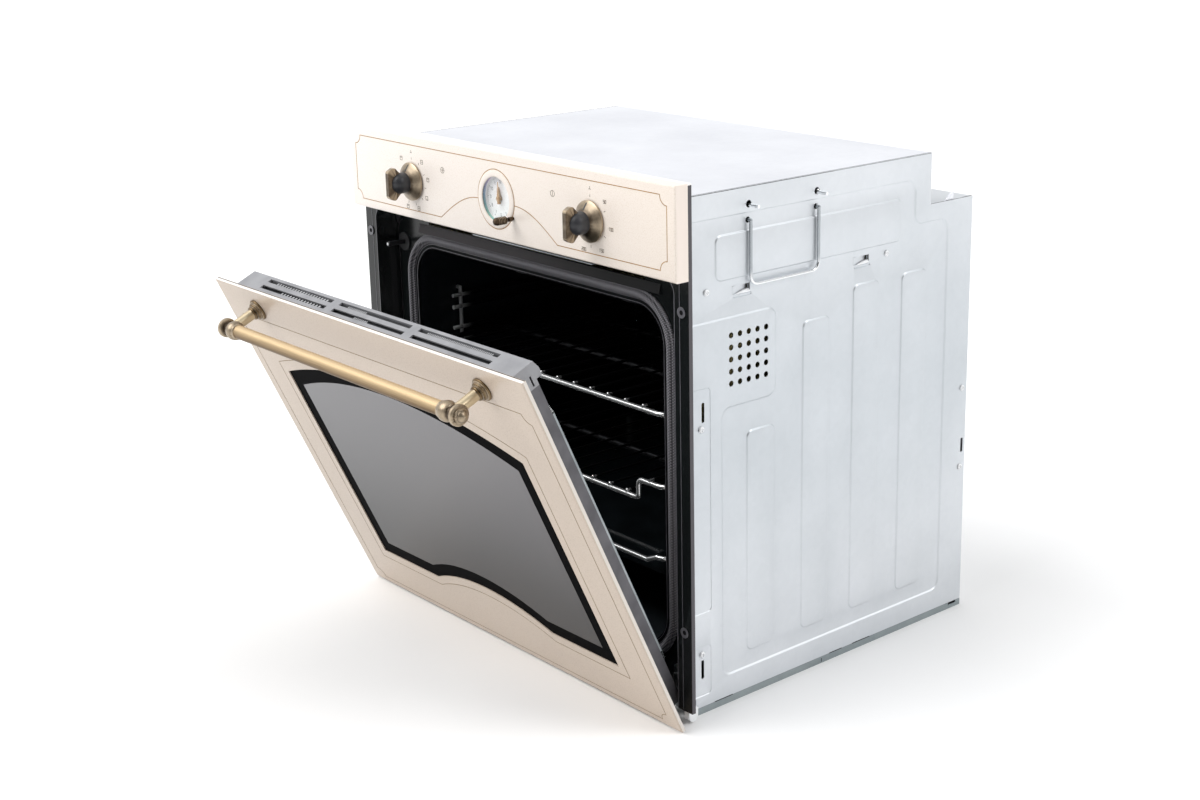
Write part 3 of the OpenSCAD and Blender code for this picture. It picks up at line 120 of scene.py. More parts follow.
# Limits of their gradients in the row's frame, in metres
FRONT_EDGE = (HALF_FRONT - 0.1) / 1000.0
FRONT_LAP = (FRONT_TOP - 1.5) / 1000.0
SHEET_MIDDLE = 0.33
RACK_FRONT = -0.1955
RAIL_TIP = -0.1678
BAIL_LOW = 0.4692
BAIL_TAIL = 0.546


def tone(hex_code):
    """An sRGB hex value as linear red, green, blue and full alpha."""
    parts = [int(hex_code[i:i + 2], 16) / 255.0 for i in (1, 3, 5)]
    return tuple(p / 12.92 if p <= 0.04045 else ((p + 0.055) / 1.055) ** 2.4 for p in parts) + (1.0,)


def add(tree, kind, inputs=None, **settings):
    """Adds a node with its settings; each input takes a value or a link from another node's socket."""
    made = tree.nodes.new(kind)
    for key, value in settings.items():
        setattr(made, key, value)
    for key, value in (inputs or {}).items():
        if isinstance(value, bpy.types.NodeSocket):
            tree.links.new(value, made.inputs[key])
        else:
            made.inputs[key].default_value = value
    return made


def per_mm(size):
    """Texture scale for a feature of that size in millimetres."""
    return 1000.0 / size


def start(name, base, metallic=0.0, roughness=0.4, **sockets):
    """A material with its shader and the object's own coordinates."""
    mat = bpy.data.materials.new(name)
    mat.use_nodes = True
    tree = mat.node_tree
    tree.nodes.clear()
    values = {"Base Color": tone(base), "Metallic": metallic, "Roughness": roughness, **sockets}
    shader = add(tree, "ShaderNodeBsdfPrincipled", values)
    add(tree, "ShaderNodeOutputMaterial", {"Surface": shader.outputs[0]})
    coords = add(tree, "ShaderNodeTexCoord").outputs["Object"]
    return SimpleNamespace(mat=mat, tree=tree, shader=shader, coords=coords)


def stretched(look, scale):
    return add(look.tree, "ShaderNodeMapping", {"Vector": look.coords, "Scale": scale}).outputs[0]


def noise(look, size_mm, detail=2.0, rough=0.5, scale=None):
    """A cloudy pattern of that grain; scale stretches it along an axis."""
    vector = stretched(look, scale) if scale else look.coords
    values = {"Vector": vector, "Scale": per_mm(size_mm), "Detail": detail, "Roughness": rough}
    return add(look.tree, "ShaderNodeTexNoise", values).outputs["Fac"]


def axis(look, letter):
    return add(look.tree, "ShaderNodeSeparateXYZ", {"Vector": look.coords}).outputs[letter]


def maths(look, operation, *terms, clamp=False):
    """One operation on numbers or sockets."""
    made = add(look.tree, "ShaderNodeMath", dict(enumerate(terms)), operation=operation, use_clamp=clamp)
    return made.outputs[0]


def above(look, value, limit):
    return maths(look, "GREATER_THAN", value, limit)


def spread(look, value, near=0.0, far=1.0, low=0.0, high=1.0, kind="LINEAR"):
    """A value between near and far as one between low and high, held there beyond them."""
    values = {"Value": value, "From Min": near, "From Max": far, "To Min": low, "To Max": high}
    return add(look.tree, "ShaderNodeMapRange", values, interpolation_type=kind).outputs[0]


def eased(look, value, near, far, low=0.0, high=1.0):
    return spread(look, value, near, far, low, high, "SMOOTHSTEP")


def mix(look, factor, first, second, blend="MIX"):
    """Two colours mixed; the node's colour inputs are its sockets 6 and 7."""
    values = {"Factor": factor, 6: first, 7: second}
    return add(look.tree, "ShaderNodeMix", values, data_type="RGBA", blend_type=blend).outputs["Result"]


def mix_numbers(look, factor, first, second):
    """The same for numbers, the sockets 2 and 3."""
    values = {"Factor": factor, 2: first, 3: second}
    return add(look.tree, "ShaderNodeMix", values, data_type="FLOAT").outputs[0]


def paint(look, colour):
    look.tree.links.new(colour, look.shader.inputs["Base Color"])


def blend_tones(look, fac, low, high, lo=0.35, hi=0.65):
    """Colour between two tones, driven by a pattern."""
    ramp = add(look.tree, "ShaderNodeValToRGB", {"Fac": fac})
    for stop, position, code in zip(ramp.color_ramp.elements, (lo, hi), (low, high)):
        stop.position = position
        stop.color = tone(code)
    paint(look, ramp.outputs[0])
    return ramp.outputs[0]


def vary_roughness(look, fac, low, high):
    look.tree.links.new(spread(look, fac, low=low, high=high), look.shader.inputs["Roughness"])


def relief(look, height, depth_mm, strength):
    values = {"Height": height, "Strength": strength, "Distance": depth_mm / 1000.0}
    bump = add(look.tree, "ShaderNodeBump", values)
    look.tree.links.new(bump.outputs[0], look.shader.inputs["Normal"])


def speckled_enamel(name, base, fleck, coat=0.25, lean="#FFFFFF", edge=None):
    """Vitreous enamel with a fine scattered fleck under a soft gloss.

    A painted shade leans it to another tone towards its right end, and its outermost edges, the side faces,
    take the edge tone as painted light and shade."""
    look = start(name, base, roughness=0.38, **{"Coat Weight": coat, "Coat Roughness": 0.12})
    enamel = blend_tones(look, noise(look, 1.1, 1.0, 0.6), fleck, base, 0.36, 0.47)
    if edge:
        sideways = axis(look, "X")
        # Painted shade: the tone darkens towards the right-hand end.
        painted_rightward_shade = mix(look, spread(look, sideways, -0.3, 0.3), WHITE, tone(lean))
        shaded = mix(look, 1.0, enamel, painted_rightward_shade, "MULTIPLY")
        # Painted light and shade on the side faces, which take the edge tone.
        painted_side_faces = above(look, maths(look, "ABSOLUTE", sideways), FRONT_EDGE)
        paint(look, mix(look, painted_side_faces, shaded, tone(edge)))
    relief(look, noise(look, 5.0), 0.02, 0.1)
    return look.mat


def orange_peel(look):
    relief(look, noise(look, 3.0), 0.03, 0.3)


def gloss_enamel(name, base, high, roughness=0.16, ior=1.6):
    """Black ground-coat enamel: deep gloss with a little orange peel."""
    look = start(name, base, roughness=roughness, IOR=ior)
    cloud = noise(look, 40.0, 3.0)
    blend_tones(look, cloud, base, high)
    vary_roughness(look, cloud, roughness - 0.05, roughness + 0.1)
    orange_peel(look)
    return look.mat


def frame_enamel():
    """Black enamel of the front frame, painted grey along its hem as painted light on its side faces.

    The cream coat of the fascia laps over its top flange."""
    look = start("frame_enamel", "#151819", roughness=0.2, IOR=1.4)
    # Painted light: the hem's side faces are painted grey; the mottle is random tone.
    lit_hem = above(look, maths(look, "ABSOLUTE", axis(look, "X")), FRONT_EDGE)
    mottle = maths(look, "MULTIPLY_ADD", noise(look, 30.0, 3.0), 0.12, -0.06)
    lit_hem_and_mottle = maths(look, "ADD", lit_hem, mottle, clamp=True)
    black = blend_tones(look, lit_hem_and_mottle, "#151819", "#4E4B4F", 0.0, 1.0)
    lapped = above(look, axis(look, "Z"), FRONT_LAP)
    paint(look, mix(look, lapped, black, tone("#F4F2F0")))
    vary_roughness(look, lit_hem_and_mottle, 0.18, 0.4)
    orange_peel(look)
    return look.mat


def faded_enamel():
    """Grey-black enamel, greyer at its left-hand end and darker towards its right-hand end."""
    look = start("grey_black_enamel", "#3E3B3D", roughness=0.45, IOR=1.3)
    rightward = eased(look, axis(look, "X"), -0.06, 0.17)
    blend_tones(look, rightward, "#484447", "#0E0F11", 0.0, 1.0)
    orange_peel(look)
    return look.mat


def cavity_enamel():
    """Grey-black easy-clean enamel with fine white flecks."""
    look = start("easy_clean_enamel", "#2A3035", roughness=0.3, IOR=1.6)
    blend_tones(look, noise(look, 1.3, 1.0, 0.6), "#1C2024", "#4C5054", 0.62, 0.78)
    relief(look, noise(look, 4.0), 0.03, 0.3)
    return look.mat


def galvanised_sheet(name, low, high, roughness=0.46, middle=None):
    """Hot-dip galvanised steel, skin-passed: faint cloudy sheen and fine rolling lines.

    Where a middle tone is given, a painted shade makes the sheet darkest half way up, paler towards its top
    and foot."""
    look = start(name, high, metallic=0.85, roughness=roughness)
    cells = add(look.tree, "ShaderNodeTexVoronoi", {"Vector": look.coords, "Scale": per_mm(6.0)})
    mixed = mix_numbers(look, 0.9, cells.outputs["Color"], noise(look, 110.0, 3.0))
    sheet = blend_tones(look, mixed, low, high, 0.25, 0.75)
    if middle:
        # Painted shade: the middle tone darkens the sheet towards mid-height.
        away = maths(look, "ABSOLUTE", maths(look, "SUBTRACT", axis(look, "Z"), SHEET_MIDDLE))
        painted_shade = mix(look, eased(look, away, 0.02, 0.26), tone(middle), WHITE)
        paint(look, mix(look, 1.0, sheet, painted_shade, "MULTIPLY"))
    vary_roughness(look, mixed, roughness - 0.04, roughness + 0.05)
    relief(look, noise(look, 1.6, scale=(1.0, 1.0, 0.06)), 0.02, 0.18)
    return look.mat


def plain_steel(name, low, high, roughness, metallic=1.0, size_mm=12.0):
    """Rolled or drawn steel with an uneven oxide tone."""
    look = start(name, high, metallic=metallic, roughness=roughness)
    cloud = noise(look, size_mm, 4.0, 0.6)
    blend_tones(look, cloud, low, high, 0.3, 0.7)
    vary_roughness(look, cloud, roughness - 0.06, roughness + 0.08)
    relief(look, noise(look, 0.8), 0.01, 0.25)
    return look.mat


def oven_wire(name, near, far, bright, painted_shade, metallic=0.85):
    """Chromed wire with a painted highlight by the cavity's mouth and painted shade further in, where it turns
    to the dark tone.
    """
    look = start(name, bright, metallic=metallic, roughness=0.2)
    # Painted light and shade: bright near the mouth, dark deeper in the cavity.
    inward = eased(look, axis(look, "Y"), near, far)
    blend_tones(look, inward, bright, painted_shade, 0.0, 1.0)
    vary_roughness(look, inward, 0.2, 0.4)
    relief(look, noise(look, 0.8), 0.01, 0.2)
    return look.mat


def bail_wire():
    """Bright zinc wire; painted shade makes its upright legs darker than its cross bar and tails."""
    look = start("bright_bail_wire", "#ECEEF0", metallic=1.0, roughness=0.14)
    height = axis(look, "Z")
    upright = eased(look, height, BAIL_LOW + 0.002, BAIL_LOW + 0.02)
    painted_leg_shade = maths(look, "SUBTRACT", upright, above(look, height, BAIL_TAIL), clamp=True)
    blend_tones(look, painted_leg_shade, "#ECEEF0", "#9EA3A7", 0.0, 1.0)
    relief(look, noise(look, 0.8), 0.01, 0.25)
    return look.mat


def brushed_brass():
    """Satin brass tube with fine lines along its length, with painted shade darker towards its underside."""
    look = start("satin_brass", "#D5BE9A", metallic=0.8, roughness=0.45)
    lines = noise(look, 0.7, scale=(0.02, 1.0, 1.0))
    # Painted shade: the tone darkens from the top down towards the underside.
    middle = on_door_face(0.0, POST_Z, BAR_OUT).z
    up = eased(look, axis(look, "Z"), middle - 0.004, middle + 0.0085, 0.0, 0.85)
    mixed = maths(look, "MULTIPLY_ADD", lines, 0.3, up)
    blend_tones(look, mixed, "#614A2C", "#D8BF98", 0.1, 0.95)
    vary_roughness(look, lines, 0.4, 0.52)
    relief(look, lines, 0.015, 0.3)
    return look.mat


def antique_bronze(name="antique_bronze", low="#564A3C", high="#AB9B84", coat=0.4):
    """Cast bronze with a brown patina, rubbed bright on its edges under a thin clear lacquer."""
    look = start(name, high, metallic=1.0, roughness=0.33, **{"Coat Weight": coat, "Coat Roughness": 0.3})
    patina = noise(look, 7.0, 5.0, 0.65)
    edges = spread(look, add(look.tree, "ShaderNodeNewGeometry").outputs["Pointiness"], 0.46, 0.56)
    blend_tones(look, mix_numbers(look, 0.5, patina, edges), low, high, 0.28, 0.68)
    vary_roughness(look, patina, 0.3, 0.48)
    relief(look, noise(look, 0.9), 0.02, 0.3)
    return look.mat


def moulded_plastic(name, low, high, roughness=0.5, grain_mm=0.7):
    """Injection-moulded plastic, paint or print with a fine matt grain."""
    look = start(name, high, roughness=roughness)
    blend_tones(look, noise(look, 25.0, 3.0), low, high)
    relief(look, noise(look, grain_mm), 0.03, 0.5)
    return look.mat


def braided_seal():
    """Woven glass-fibre and silicone seal: crossed threads about 0.8 mm apart."""
    look = start("braided_seal", "#4A494D", roughness=0.82)
    values = {"Scale": per_mm(0.8) / 6.28, "Distortion": 0.6}
    bands = [add(look.tree, "ShaderNodeTexWave", {"Vector": stretched(look, (lean, 0.3, 1.0)), **values},
                 bands_direction="DIAGONAL").outputs["Fac"] for lean in (1.0, -1.0)]
    weave = maths(look, "MULTIPLY", *bands)
    blend_tones(look, weave, "#5C5B60", "#A4A2A8", 0.1, 0.7)
    relief(look, weave, 0.15, 0.5)
    return look.mat


def draw_lines(look):
    relief(look, noise(look, 90.0, 1.0), 0.02, 0.08)


def tinted_glass(name, base, roughness, clear, alpha=1.0):
    """Clear float glass with a faint draw line."""
    look = start(name, base, roughness=roughness, IOR=1.52, Alpha=alpha, **{"Transmission Weight": clear})
    draw_lines(look)
    return look.mat


def coated_pane():
    """Grey glass with a painted reflection: lighter and more reflective towards its top, darker towards its
    foot.
    """
    look = start("grey_heat_glass", "#1D1C1F", roughness=0.07)
    rise = eased(look, axis(look, "Z"), 0.07, 0.38)
    blend_tones(look, rise, "#08070A", "#454349", 0.0, 1.0)
    look.tree.links.new(spread(look, rise, low=1.38, high=2.22), look.shader.inputs["IOR"])
    draw_lines(look)
    return look.mat


def ceramic_frit():
    """Fired black print on the glass: matt, so it stays darker than the pane beside it."""
    look = start("black_ceramic_frit", "#050506", roughness=0.55, IOR=1.06)
    grain = noise(look, 2.0)
    blend_tones(look, grain, "#040405", "#08080A")
    relief(look, grain, 0.01, 0.2)
    return look.mat


def warmth_print():
    """Painted reflection of the glass's edge, from violet at its upper end through blue to green."""
    look = start("warmth_print", "#5796A8", roughness=0.6)
    rise = spread(look, axis(look, "Z"), 0.520, 0.563)
    mixed = mix_numbers(look, 0.1, rise, noise(look, 2.0))
    ramp = blend_tones(look, mixed, "#93CFC1", "#CDBCE2", 0.1, 0.9).node.color_ramp
    ramp.elements.new(0.55).color = tone("#8FB2D4")
    return look.mat


def wool_felt():
    """Mineral wool: loose yellow-grey fibres."""
    look = start("mineral_wool", "#B8A86A", roughness=0.95)
    fibres = noise(look, 3.0, 6.0, 0.7, (1.0, 0.25, 1.0))
    blend_tones(look, fibres, "#8F8150", "#D8CB94")
    relief(look, fibres, 1.2, 0.8)
    return look.mat


# Fascia cream, with painted shade towards its right end and on its side faces.
CREAM = speckled_enamel("cream_enamel", "#FEF6EF", "#F3E8DD", lean="#ECE8E3", edge="#EBDFD5")
# Painted shade: the fascia's cream made darker for the door, which faces down, with painted light on its side
# faces.
SHADED_CREAM = speckled_enamel("shaded_cream_enamel", "#C5B6A7", "#B9A999", edge="#D7D0C8")
# Painted highlight: a pale enamel for the light along the door's top rim.
RIM_HIGHLIGHT = speckled_enamel("rim_highlight_enamel", "#F3EFEA", "#E8E1D9", 0.6)
BLACK = gloss_enamel("black_enamel", "#0F1315", "#181D20")
FRAME = frame_enamel()
# Painted highlight: a greyer copy of the black enamel for the frame's lit bends and corner tab.
LIT_BLACK = gloss_enamel("lit_black_enamel", "#2A282B", "#353336", 0.34)
FRIT = ceramic_frit()
CAVITY = cavity_enamel()
GALVANISED = galvanised_sheet("galvanised_sheet", "#D0D4D8", "#DEE1E5", middle="#EDEFF0")
# Painted light: a paler copy of the galvanised sheet for the roof, lit from above.
ROOF_SHEET = galvanised_sheet("lit_galvanised_roof", "#E1E3E9", "#EFF1F6")
BASE_SHEET = galvanised_sheet("galvanised_base", "#8B9598", "#A7AFB1", 0.36)
INNER_STEEL = plain_steel("rolled_steel", "#6E7276", "#A7ABAE", 0.38)
HEATER = plain_steel("oxidised_heater_tube", "#2B2B2D", "#57585B", 0.5)
OVEN_WIRE = oven_wire("oven_wire", RACK_FRONT, RACK_FRONT + 0.003, "#F2F3F4", "#1F2022")
RAIL_CHROME = oven_wire("rail_chrome", RAIL_TIP, RAIL_TIP + 0.03, "#F6F7F8", "#17181A", 0.5)
ZINC = plain_steel("zinc_plated_steel", "#9A9EA1", "#D5D8DA", 0.3)
FAN_STEEL = plain_steel("fan_sheet", "#8A8E91", "#C4C8CA", 0.35)
BRASS = brushed_brass()
BRONZE = antique_bronze()
DARK_BRONZE = antique_bronze("dark_bronze", "#2E261F", "#5C4D3E", 0.1)
TURNED_BRONZE = antique_bronze("turned_bronze", "#2A2118", "#77654C", 0.0)
PALE_BRONZE = antique_bronze("pale_bronze", "#9D8768", "#D3C3A4", 0.2)
HAND = plain_steel("hand_bronze", "#A07C54", "#CDAE88", 0.35, size_mm=6.0)
CAP = moulded_plastic("grey_cap_plastic", "#88898D", "#98999D", 0.46)
SIDE_PAINT = moulded_plastic("dark_grey_paint", "#4F4E53", "#626166", 0.5, 1.2)
TOOTH = moulded_plastic("pale_comb_plastic", "#A3A4A7", "#B4B5B8", 0.5)
GLASS_EDGE = moulded_plastic("ground_glass_edge", "#8E979B", "#AAB2B5", 0.35)
PALE = plain_steel("bright_zinc", "#E4E6E8", "#F6F7F8", 0.5, 0.3)
BAIL_WIRE = bail_wire()
DARK = moulded_plastic("black_plastic", "#1B1C1E", "#2B2C2F", 0.45)
BALL = moulded_plastic("anthracite_ball", "#2C2D31", "#3E3F43", 0.4, 0.5)
BEIGE = moulded_plastic("switch_plastic", "#B9B4A4", "#D2CDBF", 0.5)
CERAMIC = moulded_plastic("lamp_ceramic", "#C9C5BA", "#DAD6CC", 0.5)
DIAL = moulded_plastic("dial_enamel", "#F8F8F8", "#FDFDFD", 0.35, 2.0)
INK = moulded_plastic("brown_print", "#5E5142", "#776650", 0.6)
GREY_INK = moulded_plastic("grey_print", "#5C5D60", "#707174", 0.6)
REFLECTION_BAND = warmth_print()
GOLD_LINE = plain_steel("gold_print", "#9A7440", "#B98E55", 0.45, 0.35, 8.0)
DOOR_LINE = plain_steel("brown_gold_print", "#6F5B3D", "#8B7450", 0.5, 0.2, 8.0)
PANE = coated_pane()
SHADOW = moulded_plastic("seam_shadow", "#1C1D1F", "#26272A", 0.8)
SEAM = moulded_plastic("closed_seam", "#6E7376", "#84898C", 0.7)
SLOT_BACK = moulded_plastic("shaded_sheet", "#63676A", "#787C7F", 0.7)
# Painted highlight: grey enamel for the glint along the frame's beads and eyelet rims.
BEAD = gloss_enamel("bead_highlight_enamel", "#55545A", "#6A696F", 0.3)
GREY_BLACK = faded_enamel()
MATT_BLACK = gloss_enamel("matt_black_enamel", "#0D0E10", "#131416", 0.5, 1.12)
CLEAR = tinted_glass("clear_glass", "#E8EEF0", 0.02, 0.95)
WATCH_GLASS = tinted_glass("watch_glass", "#F4F7F8", 0.02, 0.95, 0.1)
INNER_PANE = tinted_glass("inner_clear_glass", "#B9C2C2", 0.03, 0.9)
SEAL = braided_seal()
WOOL = wool_felt()

FINISH = {
    CREAM: ["fascia", "clock_ring"], SHADED_CREAM: ["door_panel"], FRAME: ["front_frame"], BLACK: ["drip_tray"],
    CAVITY: ["cavity_liner", "cavity_back", "fan_baffle"],
    SEAL: ["door_seal"], WOOL: ["insulation"],
    GALVANISED: ["side_panel_left", "side_panel_right", "rear_panel", "fan_cover",
                 "control_bracket", "blower_housing"],
    ROOF_SHEET: ["roof_panel"], BASE_SHEET: ["base_tray"],
    INNER_STEEL: ["fan_motor", "blower_motor"],
    HEATER: ["ring_element", "grill_element", "bottom_element"],
    RAIL_CHROME: ["side_rails"], OVEN_WIRE: ["rack_upper", "rack_lower", "rack_lower_frame", "tray_frame"],
    ZINC: ["housing_screws", "hinge_arms", "hinge_channels", "hinge_lock_left", "hinge_lock_right"],
    BAIL_WIRE: ["bail_left", "bail_right"],
    FAN_STEEL: ["fan_wheel", "blower_rotor"],
    BRASS: ["handle_bar"],
    BRONZE: ["function_knob", "thermostat_knob", "handle_posts", "handle_finials"],
    DARK_BRONZE: ["timer_knob"], HAND: ["minute_hand", "hour_hand"],
    CAP: ["door_cap"], SIDE_PAINT: ["door_sides", "door_bottom_rail"],
    DARK: ["clock_body", "terminal_box", "locating_pin"], BEIGE: ["selector_switch", "thermostat"],
    CERAMIC: ["lamp_socket"], DIAL: ["clock_dial"], PANE: ["outer_glass"],
    CLEAR: ["lamp_lens"], WATCH_GLASS: ["clock_glass"], INNER_PANE: ["middle_glass", "inner_glass"],
}
for finish, members in FINISH.items():
    for member in members:
        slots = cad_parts[member].data.materials
        slots.clear()
        slots.append(finish)


# Mesh making

def fix_normals(made):
    """Turns every face outwards."""
    work = bmesh.new()
    work.from_mesh(made.data)
    bmesh.ops.recalc_face_normals(work, faces=work.faces)
    work.to_mesh(made.data)
    work.free()
    made.data.update()


def enter(made, body=None):
    """Puts an object into the scene, on its body."""
    bpy.context.scene.collection.objects.link(made)
    if body:
        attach(made, body)
    return made


def piece(name, shape, material, body=None):
    """A finished piece from (points, faces), the points in the row's frame."""
    points, faces = shape
    mesh = bpy.data.meshes.new(name)
    mesh.from_pydata([tuple(p) for p in points], [], faces)
    mesh.materials.append(material)
    mesh.update()
    return enter(bpy.data.objects.new(name, mesh), body)


def solid(name, shape, material, body=None):
    """A piece whose faces are turned outwards."""
    made = piece(name, shape, material, body)
    fix_normals(made)
    return made


def soften(made, angle=None):
    """Shades smoothly, with the edges above that angle in degrees kept sharp."""
    made.data.shade_smooth()
    if angle:
        made.data.set_sharp_from_angle(angle=math.radians(angle))
    return made


def merge(shape, more):
    """Adds a second set of points and faces to the first."""
    points, faces = shape
    faces += [tuple(len(points) + i for i in face) for face in more[1]]
    points += more[0]


def side_normals(path, closed):
    """Mitred left-hand normals of a flat path."""
    count = len(path)
    out = []
    for i, point in enumerate(path):
        before = path[i - 1] if closed or i > 0 else path[i]
        after = path[(i + 1) % count] if closed or i < count - 1 else path[i]
        a = Vector((point[0] - before[0], point[1] - before[1]))
        b = Vector((after[0] - point[0], after[1] - point[1]))
        a = a.normalized() if a.length > 1e-9 else b.normalized()
        b = b.normalized() if b.length > 1e-9 else a
        n = Vector((-a.y - b.y, a.x + b.x))
        n = n.normalized() if n.length > 1e-9 else Vector((-a.y, a.x))
        out.append(n / max(0.4, n.dot(Vector((-a.y, a.x)))))
    return out


def shifted(path, by, closed=True):
    """The path moved sideways along its normals."""
    normals = side_normals(path, closed)
    return [(p[0] + n.x * by, p[1] + n.y * by) for p, n in zip(path, normals)]


def ribbon(paths, width, to_space, closed, height):
    """Thin closed bands along flat paths, standing a hair out of their surface."""
    points, faces = [], []
    for path in paths:
        inner = shifted(path, -width / 2, closed)
        outer = shifted(path, width / 2, closed)
        base, count = len(points), len(path)
        for a, b in zip(inner, outer):
            points += [to_space(a[0], a[1], -0.02), to_space(b[0], b[1], -0.02),
                       to_space(b[0], b[1], height), to_space(a[0], a[1], height)]
        last = count if closed else count - 1
        for i in range(last):
            now, nxt = base + 4 * i, base + 4 * ((i + 1) % count)
            for k in range(4):
                faces.append((now + k, nxt + k, nxt + (k + 1) % 4, now + (k + 1) % 4))
        if not closed:
            end = base + 4 * (count - 1)
            faces += [(base, base + 1, base + 2, base + 3), (end + 3, end + 2, end + 1, end)]
    return points, faces


def print_on(name, paths, width, to_space, material, body, height=0.12, closed=False):
    solid(name, ribbon(paths, width, to_space, closed, height), material, body)


def arc(cx, cz, r, a0, a1, steps):
    """Points of an arc, angles in degrees."""
    turns = [math.radians(a0 + (a1 - a0) * i / steps) for i in range(steps + 1)]
    return [(cx + r * math.cos(a), cz + r * math.sin(a)) for a in turns]


def rounded(corners, radii, steps=6):
    """A closed path whose corners are softened by arcs of the given radii."""
    out = []
    count = len(corners)
    for i, corner in enumerate(corners):
        here = Vector(corner)
        a = (Vector(corners[i - 1]) - here).normalized()
        b = (Vector(corners[(i + 1) % count]) - here).normalized()
        r = radii[i] if isinstance(radii, (list, tuple)) else radii
        half = math.acos(max(-1.0, min(1.0, a.dot(b)))) / 2
        middle = here + (a + b).normalized() * (r / math.sin(half))
        cut = r / math.tan(half)
        first, last = here + a * cut - middle, here + b * cut - middle
        turn = math.pi - 2 * half
        if first.x * last.y - first.y * last.x < 0:
            turn = -turn
        begin = math.atan2(first.y, first.x)
        for k in range(steps + 1):
            angle = begin + turn * k / steps
            out.append((middle.x + r * math.cos(angle), middle.y + r * math.sin(angle)))
    return out


def rectangle(x0, z0, x1, z1):
    return [(x0, z0), (x1, z0), (x1, z1), (x0, z1)]


def mirrored(path):
    return [(-p[0], p[1]) for p in path]


def mirrored_pair(path):
    return [path, mirrored(path)]


def inside(point, path):
    """Whether a point lies within a closed path."""
    x, y = point
    hit = False
    count = len(path)
    for i in range(count):
        x0, y0 = path[i]
        x1, y1 = path[(i + 1) % count]
        if (y0 > y) != (y1 > y) and x < (x1 - x0) * (y - y0) / (y1 - y0) + x0:
            hit = not hit
    return hit


def pressed_sheet(name, outline, holes, pressings, to_space, thickness, material, body=None):
    """A sheet with soft-edged pressed fields and punched holes.

    pressings are (closed path, rise, half width of the soft edge), the widest first."""
    points, edges, heights = [], [], []

    def add_loop(path, height):
        base = len(points)
        for i, p in enumerate(path):
            points.append(Vector(p))
            heights.append(height)
            edges.append((base + i, base + (i + 1) % len(path)))

    add_loop(outline, None)
    for hole in holes:
        add_loop(hole, None)
    for path, rise, soft in pressings:
        ground = sum(up for other, up, _ in pressings if other is not path and inside(path[0], other))
        steps = 6 if rise else 1
        for k in range(steps + 1):
            t = k / steps
            ease = t * t * (3 - 2 * t)
            add_loop(shifted(path, (2 * t - 1) * soft * orientation(path)), ground + rise * ease)
    coords, _, faces, origins, _, _ = delaunay_2d_cdt(points, edges, [], 0, 1e-5)
    flat = []
    for p, source in zip(coords, origins):
        given = [heights[s] for s in source if heights[s] is not None]
        if given:
            flat.append(given[0])
        else:
            flat.append(sum(rise for path, rise, _ in pressings if inside((p.x, p.y), path)))
    kept = []
    for face in faces:
        cx = sum(coords[i].x for i in face) / len(face)
        cy = sum(coords[i].y for i in face) / len(face)
        if inside((cx, cy), outline) and not any(inside((cx, cy), h) for h in holes):
            kept.append(tuple(face))
    verts = [to_space(p.x, p.y, h) for p, h in zip(coords, flat)]
    verts += [to_space(p.x, p.y, h - thickness) for p, h in zip(coords, flat)]
    count = len(coords)
    border = {}
    for face in kept:
        for i, a in enumerate(face):
            b = face[(i + 1) % len(face)]
            if border.pop((b, a), None) is None:
                border[(a, b)] = True
    skins = kept + [tuple(reversed([i + count for i in f])) for f in kept]
    walls = [(b, a, a + count, b + count) for a, b in border]
    return soften(solid(name, (verts, skins + walls), material, body), 38)


def orientation(path):
    """1 for an anticlockwise path, whose left-hand side is inside, else -1."""
    area = sum(path[i - 1][0] * path[i][1] - path[i][0] * path[i - 1][1] for i in range(len(path)))
    return 1.0 if area > 0 else -1.0


def lathe(profile, steps, to_space, ring=False):
    """A closed solid turned from a profile of (radius, height) points; a ring where the profile is closed."""
    turns = [2 * math.pi * i / steps for i in range(steps)]
    points = [to_space(r * math.cos(a), r * math.sin(a), h) for a in turns for r, h in profile]
    faces = []
    n = len(profile)
    for i in range(steps):
        j = (i + 1) % steps
        for k in range(n if ring else n - 1):
            m = (k + 1) % n
            faces.append((i * n + k, j * n + k, j * n + m, i * n + m))
    if not ring:
        faces += [tuple(i * n for i in reversed(range(steps))), tuple(i * n + n - 1 for i in range(steps))]
    return points, faces


def prism(front, back, to_space):
    """A closed solid between two outlines with the same number of corners, each ((u, v) points, depth)."""
    points = [to_space(u, v, depth) for outline, depth in (front, back) for u, v in outline]
    n = len(front[0])
    faces = [tuple(range(n)), tuple(reversed(range(n, 2 * n)))]
    faces += [(i, i + n, (i + 1) % n + n, (i + 1) % n) for i in range(n)]
    return points, faces


def ring_plate(name, outer, inner, near, far, to_space, material, body):
    """A flat ring between two outlines with the same number of corners, depths near to far."""
    points = [to_space(x, depth, z) for depth in (near, far) for path in (outer, inner) for x, z in path]
    n = len(outer)
    faces = []
    for i in range(n):
        j = (i + 1) % n
        faces += [(i, j, n + j, n + i), (2 * n + i, 3 * n + i, 3 * n + j, 2 * n + j),
                  (i, 2 * n + i, 2 * n + j, j), (n + i, n + j, 3 * n + j, 3 * n + i)]
    solid(name, (points, faces), material, body)


# Repeated parts, laid out by Geometry Nodes

def layout_tree(name, *sizes):
    """A geometry tree with those inputs, a part and its finish; gives it with the input node's sockets."""
    tree = bpy.data.node_groups.new(name, "GeometryNodeTree")
    tree.interface.new_socket(name="Geometry", in_out="OUTPUT", socket_type="NodeSocketGeometry")
    for label, kind in sizes + (("Part", "Object"), ("Finish", "Material")):
        tree.interface.new_socket(name=label, in_out="INPUT", socket_type="NodeSocket" + kind)
    return tree, add(tree, "NodeGroupInput").outputs


